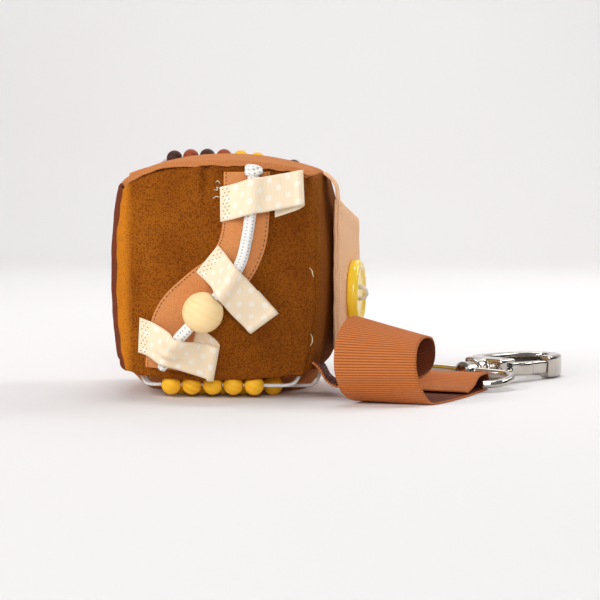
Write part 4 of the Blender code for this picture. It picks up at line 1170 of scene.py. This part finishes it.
# %% Flap, piping and tab
flap_width, flap_height, flap_thickness = 48 * mm, 59 * mm, 3.4 * mm
flap_near_y, flap_inner_x, flap_top_z = -20 * mm, 42.4 * mm, 75 * mm
flap_slope = math.tan(math.radians(9.5))
flap_turn = Matrix.Translation(Vector((flap_inner_x, flap_near_y, flap_top_z))) @ Matrix.Rotation(
    -math.radians(5.5), 4, "Z"
)
pillow = bmesh.new()
bmesh.ops.create_cube(pillow, size=1)
bmesh.ops.subdivide_edges(pillow, edges=pillow.edges, cuts=31, use_grid_fill=True)
pillow.verts.ensure_lookup_table()
flap_pins = {}
for vertex in pillow.verts:
    x, y, z = vertex.co.x * 2, vertex.co.y * 2, vertex.co.z * 2
    rim = max(abs(y), abs(z))
    if rim > 0.999 and abs(x) < 0.2:
        flap_pins[vertex.index] = 1.0
    depth = flap_thickness * (0.98 - 0.22 * rim**8)
    groove = 0.5 * mm * max(0, 1 - abs(x) / 0.35) if rim > 0.999 else 0
    across = (vertex.co.y + 0.5) * flap_width
    height = vertex.co.z - 0.5
    up = height * flap_height - flap_slope * across * (0.5 + z / 2)
    vertex.co = Vector((flap_thickness / 2 + vertex.co.x * depth, across, up))
    if groove:
        vertex.co.y -= math.copysign(groove, y) if abs(y) > 0.999 else 0
        vertex.co.z -= math.copysign(groove, z) if abs(z) > 0.999 else 0
flap_places = inflate(pillow, flap_pins, 0.03, 2.0, 0.4 * mm)
for vertex, place in zip(pillow.verts, flap_places):
    vertex.co = flap_turn @ (place + noise.noise_vector(place / (7 * mm)) * 0.25 * mm)
flap_piece = add_piece("flap_pad", pillow, beige_linen, "flap", "beige_linen", ["flap"])
refine(flap_piece)


def flap_edge(share, outset):
    """A point on the flap's edge, going round it."""
    flat = ((0, 0), (0, -flap_height), (flap_width, -flap_height), (flap_width, -flap_slope * flap_width))
    corners = [Vector((0, y, z)) for y, z in flat]
    spot = (share % 1) * 4
    first = int(spot)
    here = corners[first].lerp(corners[(first + 1) % 4], spot - first)
    middle = Vector((0, flap_width / 2, -flap_height / 2))
    here += (here - middle).normalized() * outset
    return flap_turn @ (here + Vector((flap_thickness / 2, 0, 0)))


edge_stitches = bmesh.new()
for number in range(80):
    share = number / 80
    for face in (-1, 1):
        ends = []
        for step in (0, 0.006):
            point = flap_edge(share + step, -2.4 * mm)
            ends.append(point + flap_turn.to_3x3() @ Vector((face * flap_thickness * 0.36, 0, 0)))
        stitch(edge_stitches, ends[0], ends[1], 0.16 * mm)
add_piece("flap_stitches", edge_stitches, tan_thread, "flap", "beige_linen")

tab_width, tab_thickness = 13 * mm, 0.9 * mm
root_skin = skin_point(Vector((1, 0, 0.965)))
root_x = root_skin.x + piece_gap + tab_thickness / 2
tab_root = Vector((root_x, flap_near_y + tab_width / 2, root_skin.z + centre_z))
tab_end = Vector((flap_inner_x + flap_thickness / 2, 0, flap_top_z + piece_gap))
tab_rows = 40
tab_shares = ((-0.05, -0.02), (0.3, 0.13), (0.62, 0.29), (0.88, 0.53), (1.0, 1.0), (1.0, 1.25))
tab_span = tab_end - tab_root
tab_knots = [(tab_root.x + a * tab_span.x, tab_root.z + b * tab_span.z) for a, b in tab_shares]
tab_line = smooth_points(tab_knots, tab_rows)


def tab_point(across, along):
    x, z = tab_line[round(along * tab_rows)]
    return Vector((x, tab_root.y + across * tab_width / 2, z))


tab = mapped_grid(8, tab_rows, tab_point, tab_width)
tab_length = reach_of([(x, 0, z) for x, z in tab_line])[-1]
tab_piece = add_piece("flap_tab_cloth", tab, beige_linen, "flap", "beige_linen", ["flap_tab"])
give_wall(tab_piece, tab_thickness * 0.9)
print("flap corner at", [round(c / mm, 1) for c in flap_edge(0, 0)])

# %% [markdown]
# ## The button
# A large cast button is sewn on the flap: a flat back, a rounded rim and a dished face with two holes.
# The dish and the rim are one profile spun round, and the holes are cut with a Boolean, which is then
# made part of the mesh. A loop of white thread stands up between the holes.

# %% Button and thread
button_diameter, button_thickness = 26 * mm, 4.2 * mm
rim_round, hole_radius, hole_shift = 1.6 * mm, 1.1 * mm, 2.3 * mm
button_out = flap_thickness + piece_gap + button_thickness / 2
button_centre = flap_turn @ Vector((button_out, 3 * mm - flap_near_y, 38 * mm - flap_top_z))
button_place = pointing(button_centre, flap_turn.to_3x3() @ Vector((1, 0, 0)))
radius, face_z, back_z = button_diameter / 2, button_thickness / 2, -button_thickness / 2
dish = face_z - 0.9 * mm
outline = [(0, dish), (radius * 0.5, dish)]
outline += [(radius - 3.6 * mm, dish + 0.05 * mm), (radius - 2.9 * mm, face_z - 0.25 * mm)]
outline += [
    (radius - rim_round + rim_round * math.sin(a), face_z - rim_round + rim_round * math.cos(a))
    for a in np.linspace(-0.5, math.pi / 2, 9)
]
outline += [(radius, back_z + 0.9 * mm), (radius - 0.3 * mm, back_z + 0.3 * mm)]
outline += [(radius - 1 * mm, back_z), (0, back_z)]
disc = spin_profile(outline, False, 96, button_place)
button_piece = add_piece("cast_button", disc, button_cast, "flap", "yellow_button", ["button"])
for sign in (-1, 1):
    drill = bmesh.new()
    bmesh.ops.create_cone(
        drill, cap_ends=True, segments=32, radius1=hole_radius, radius2=hole_radius, depth=9 * mm
    )
    shifted = button_place @ Matrix.Translation((sign * hole_shift, 0, 0))
    bmesh.ops.transform(drill, matrix=shifted, verts=drill.verts)
    cutter = new_object("drill", drill)
    cut = button_piece.modifiers.new("hole", "BOOLEAN")
    cut.object = cutter
    cut.solver = "EXACT"
    bpy.context.view_layer.update()
    drilled = bpy.data.meshes.new_from_object(button_piece.evaluated_get(bpy.context.evaluated_depsgraph_get()))
    button_piece.modifiers.clear()
    button_piece.data = drilled
    bpy.data.objects.remove(cutter, do_unlink=True)
button_piece.data.set_sharp_from_angle(angle=math.radians(50))

stand, loop_line = 3.2 * mm, []
for angle in (math.pi * step / 32 for step in range(33)):
    up = stand * math.sin(angle)
    loop_line.append(button_place @ Vector((-hole_shift * math.cos(angle), up * 0.2, dish - 0.3 * mm + up)))
legs = [button_place @ Vector((sign * hole_shift, 0, back_z + 0.2 * mm)) for sign in (-1, 1)]
thread_loop = sweep([legs[0], *loop_line, legs[1]], 0.75 * mm, 16, relief=twist(0.08, 0.25 * mm))
add_piece("button_loop", thread_loop, white_thread, "flap", "white_cord", ["button_thread"])
print("button middle", [round(c / mm, 1) for c in button_centre])

# %% [markdown]
# ## The strap
# One length of heavy grosgrain runs from the bottom seam, curls up in a roll, comes down flat on the
# table, folds round the ring's bar and ends in a sewn hem on top of itself. Its middle line and the way
# its width points are given at a row of stations; a smooth curve through them is the strap's lie.

# %% Strap
strap_width, strap_thickness, roll_height = 30 * mm, 0.9 * mm, 29 * mm
# Each station: its place in strap widths, its height in shares of the roll's, and the way across.
# From the hem to the bend of the roll the width points one way.
straight_way = (0.956, -0.293, 0.0)
strap_shares = (
    (2.663, -0.590, 0.070, *straight_way),
    (2.740, -0.337, 0.125, *straight_way),
    (2.800, -0.143, 0.215, *straight_way),
    (2.860, 0.047, 0.236, *straight_way),
    (2.906, 0.203, 0.230, *straight_way),
    (2.929, 0.280, 0.198, *straight_way),
    (2.938, 0.310, 0.124, *straight_way),
    (2.929, 0.280, 0.050, *straight_way),
    (2.906, 0.203, 0.018, *straight_way),
    (2.860, 0.047, 0.017, *straight_way),
    (2.663, -0.590, 0.017, *straight_way),
    (2.483, -1.050, 0.017, *straight_way),
    (2.317, -1.400, 0.017, 0.970, -0.240, 0.0),
    (2.183, -1.617, 0.055, 0.990, -0.120, -0.03),
    (2.077, -1.767, 0.225, 1.000, 0.000, 0.0),
    (2.017, -1.850, 0.485, 1.000, 0.000, 0.0),
    (2.027, -1.750, 0.760, 0.990, 0.050, -0.06),
    (2.105, -1.483, 0.929, 0.968, 0.138, -0.20),
    (2.223, -1.188, 0.940, 0.935, 0.217, -0.285),
    (2.260, -0.970, 0.780, 0.920, 0.160, -0.31),
    (2.210, -0.880, 0.550, 0.945, 0.060, -0.28),
    (2.017, -0.820, 0.335, 0.760, -0.600, -0.18),
    (1.750, -0.740, 0.185, 0.300, -0.950, -0.08),
    (1.500, -0.700, 0.160, 0.050, -1.000, 0.02),
    (1.365, -0.690, 0.235, 0.020, -1.000, 0.03),
    (1.287, -0.690, 0.374, 0.020, -1.000, 0.03),
    (1.190, -0.690, 0.470, 0.020, -1.000, 0.03),
)
strap_rows = 720
strap_line = smooth_points(strap_shares, strap_rows)


def strap_point(across, along):
    row = strap_line[round(along * strap_rows)]
    side = Vector(row[3:]).normalized() * strap_width / 2
    z = max(row[2] * roll_height, strap_thickness * 0.55)
    return Vector((row[0] * strap_width, row[1] * strap_width, z)) + side * across


strap_length = reach_of([strap_point(0, step / strap_rows) for step in range(strap_rows + 1)])[-1]
strap = mapped_grid(20, strap_rows, strap_point, strap_width)
strap_piece = add_piece("grosgrain_strap", strap, rust_grosgrain, "cube", "strap_grosgrain", ["strap"])
# The reverse face takes the darker copy: painted shade inside the roll
strap_piece.data.materials.append(shaded_grosgrain)
give_wall(strap_piece, strap_thickness * 0.85).modifiers["wall"].material_offset = 1

hem = bmesh.new()
for number in range(15):
    across = -0.86 + 1.72 * number / 14
    lifted = Vector((0, 0, strap_thickness * 0.52))
    ends = [strap_point(across + step, 0.016) + lifted for step in (-0.045, 0.045)]
    stitch(hem, ends[0], ends[1], 0.28 * mm)
add_piece("hem_stitches", hem, tan_thread, "cube", "strap_grosgrain")
print("strap length:", round(strap_length / mm), "mm")

# %% [markdown]
# ## Ring and snap hook
# The hook is a die casting: a flat C with its edges rounded over and a block for the gate's pin. The ring
# is one bent wire with a boss for the swivel's rivet. Highlights run along rounded edges, so the hook,
# the gate and the ring are cast again from the frame's own solids: laid over with an even mesh, then
# melted a little. The rivet, the pin and the spring hardly show, and only take their finish.


# %% Cast and plate the metal
def plate(node, finish):
    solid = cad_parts[node]
    if not solid.material_slots:
        solid.data.materials.append(finish)
    for held in solid.material_slots:
        held.material = finish


def recast(node, body, voxel, passes):
    """The frame's solid as a casting: its sharp edges melted round on a fine even mesh."""
    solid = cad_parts[node]
    bm = bmesh.new()
    bm.from_mesh(solid.data)
    bmesh.ops.transform(bm, matrix=solid.matrix_world, verts=bm.verts)
    casting = add_piece(f"{node}_cast", bm, nickel, body, "nickel_plate", [node])
    even = casting.modifiers.new("even", "REMESH")
    even.mode = "VOXEL"
    even.voxel_size = voxel
    even.use_smooth_shade = True
    melt = casting.modifiers.new("melt", "SMOOTH")
    melt.factor = 0.5
    melt.iterations = passes


recast("hook_body", "hook", 0.28 * mm, 60)
recast("gate", "gate", 0.28 * mm, 50)
recast("hook_ring", "ring", 0.22 * mm, 10)
for node, finish in (("swivel_pin", nickel), ("gate_pin", nickel), ("gate_spring", spring_steel)):
    plate(node, finish)
print("plated: swivel_pin, gate_pin; cast again: hook_body, gate, hook_ring")

# %% [markdown]
# ## Floor and light
# A pale sweep runs under the toy and up behind it, so there is no horizon. One large soft light from the
# left and above makes the shape, a weak one from the right opens the shadows, and a bright sky-like
# world fills the rest, as a white studio does.

# %% Stage and lights
sweep_line = [(-1.6, 0.0), (1.1, 0.0)]
sweep_line += [(1.1 + 0.5 * math.sin(a), 0.5 - 0.5 * math.cos(a)) for a in np.linspace(0.1, math.pi / 2, 16)]
sweep_line += [(1.6, 2.4)]
backdrop = bmesh.new()
edge_points = [backdrop.verts.new((-2.5, y, z)) for y, z in sweep_line]
edge_lines = [backdrop.edges.new(pair) for pair in zip(edge_points, edge_points[1:])]
grown = bmesh.ops.extrude_edge_only(backdrop, edges=edge_lines)["geom"]
moved = [item for item in grown if isinstance(item, bmesh.types.BMVert)]
bmesh.ops.translate(backdrop, verts=moved, vec=(5, 0, 0))
bmesh.ops.recalc_face_normals(backdrop, faces=backdrop.faces)
paper_sweep = new_object("paper_sweep", backdrop)
paper_sweep.data.shade_smooth()
paper, tree, shader = start_material("studio_paper", Roughness=0.85)
tone = put(tree, "ShaderNodeTexNoise", Vector=place_of(tree), Scale=3.0, Detail=1.0)
paint(tree, shader, tone.outputs["Fac"], tint(233, 230, 229), tint(237, 235, 235))
paper_sweep.data.materials.append(paper)


def soft_light(name, place, target, size, power, colour):
    data = bpy.data.lights.new(name, "AREA")
    data.shape = "DISK"
    data.size = size
    data.energy = power
    data.color = colour
    light = bpy.data.objects.new(name, data)
    light.location = place
    light.rotation_euler = (Vector(target) - Vector(place)).to_track_quat("-Z", "Y").to_euler()
    bpy.context.scene.collection.objects.link(light)


middle = (0.03, 0, 0.04)
soft_light("key", (-0.95, -0.75, 0.78), middle, 0.6, 9.2, (1.0, 0.985, 0.96))
soft_light("fill", (0.15, -1.3, 0.55), middle, 0.7, 7.3, (0.97, 0.98, 1.0))
soft_light("side", (0.8, 0.4, 0.6), (0.05, 0, 0.04), 0.5, 3.5, (1, 1, 1))
soft_light("back", (0.2, 0.8, 1.0), middle, 0.8, 2.0, (1, 1, 1))
soft_light("wall", (0, 0.3, 1.7), (0, 1.7, 0.8), 1.0, 17, (1, 1, 1))
world = bpy.data.worlds.new("studio")
world.use_nodes = True
sky = world.node_tree
ways = put(sky, "ShaderNodeTexCoord").outputs["Generated"]
dark_way = Vector((0.93, 0.30, 0.22)).normalized()
toward = vector_node(sky, "DOT_PRODUCT", ways, dark_way, output="Value")
screen = ramp(sky, toward, 0.90, 0.96, 0.03, 0.24)
sky.nodes["Background"].inputs["Color"].default_value = (0.97, 0.975, 1.0, 1)
sky.links.new(screen, sky.nodes["Background"].inputs["Strength"])
bpy.context.scene.world = world
bpy.context.scene.view_settings.view_transform = "Standard"
print("lights:", [light.name for light in bpy.data.lights])
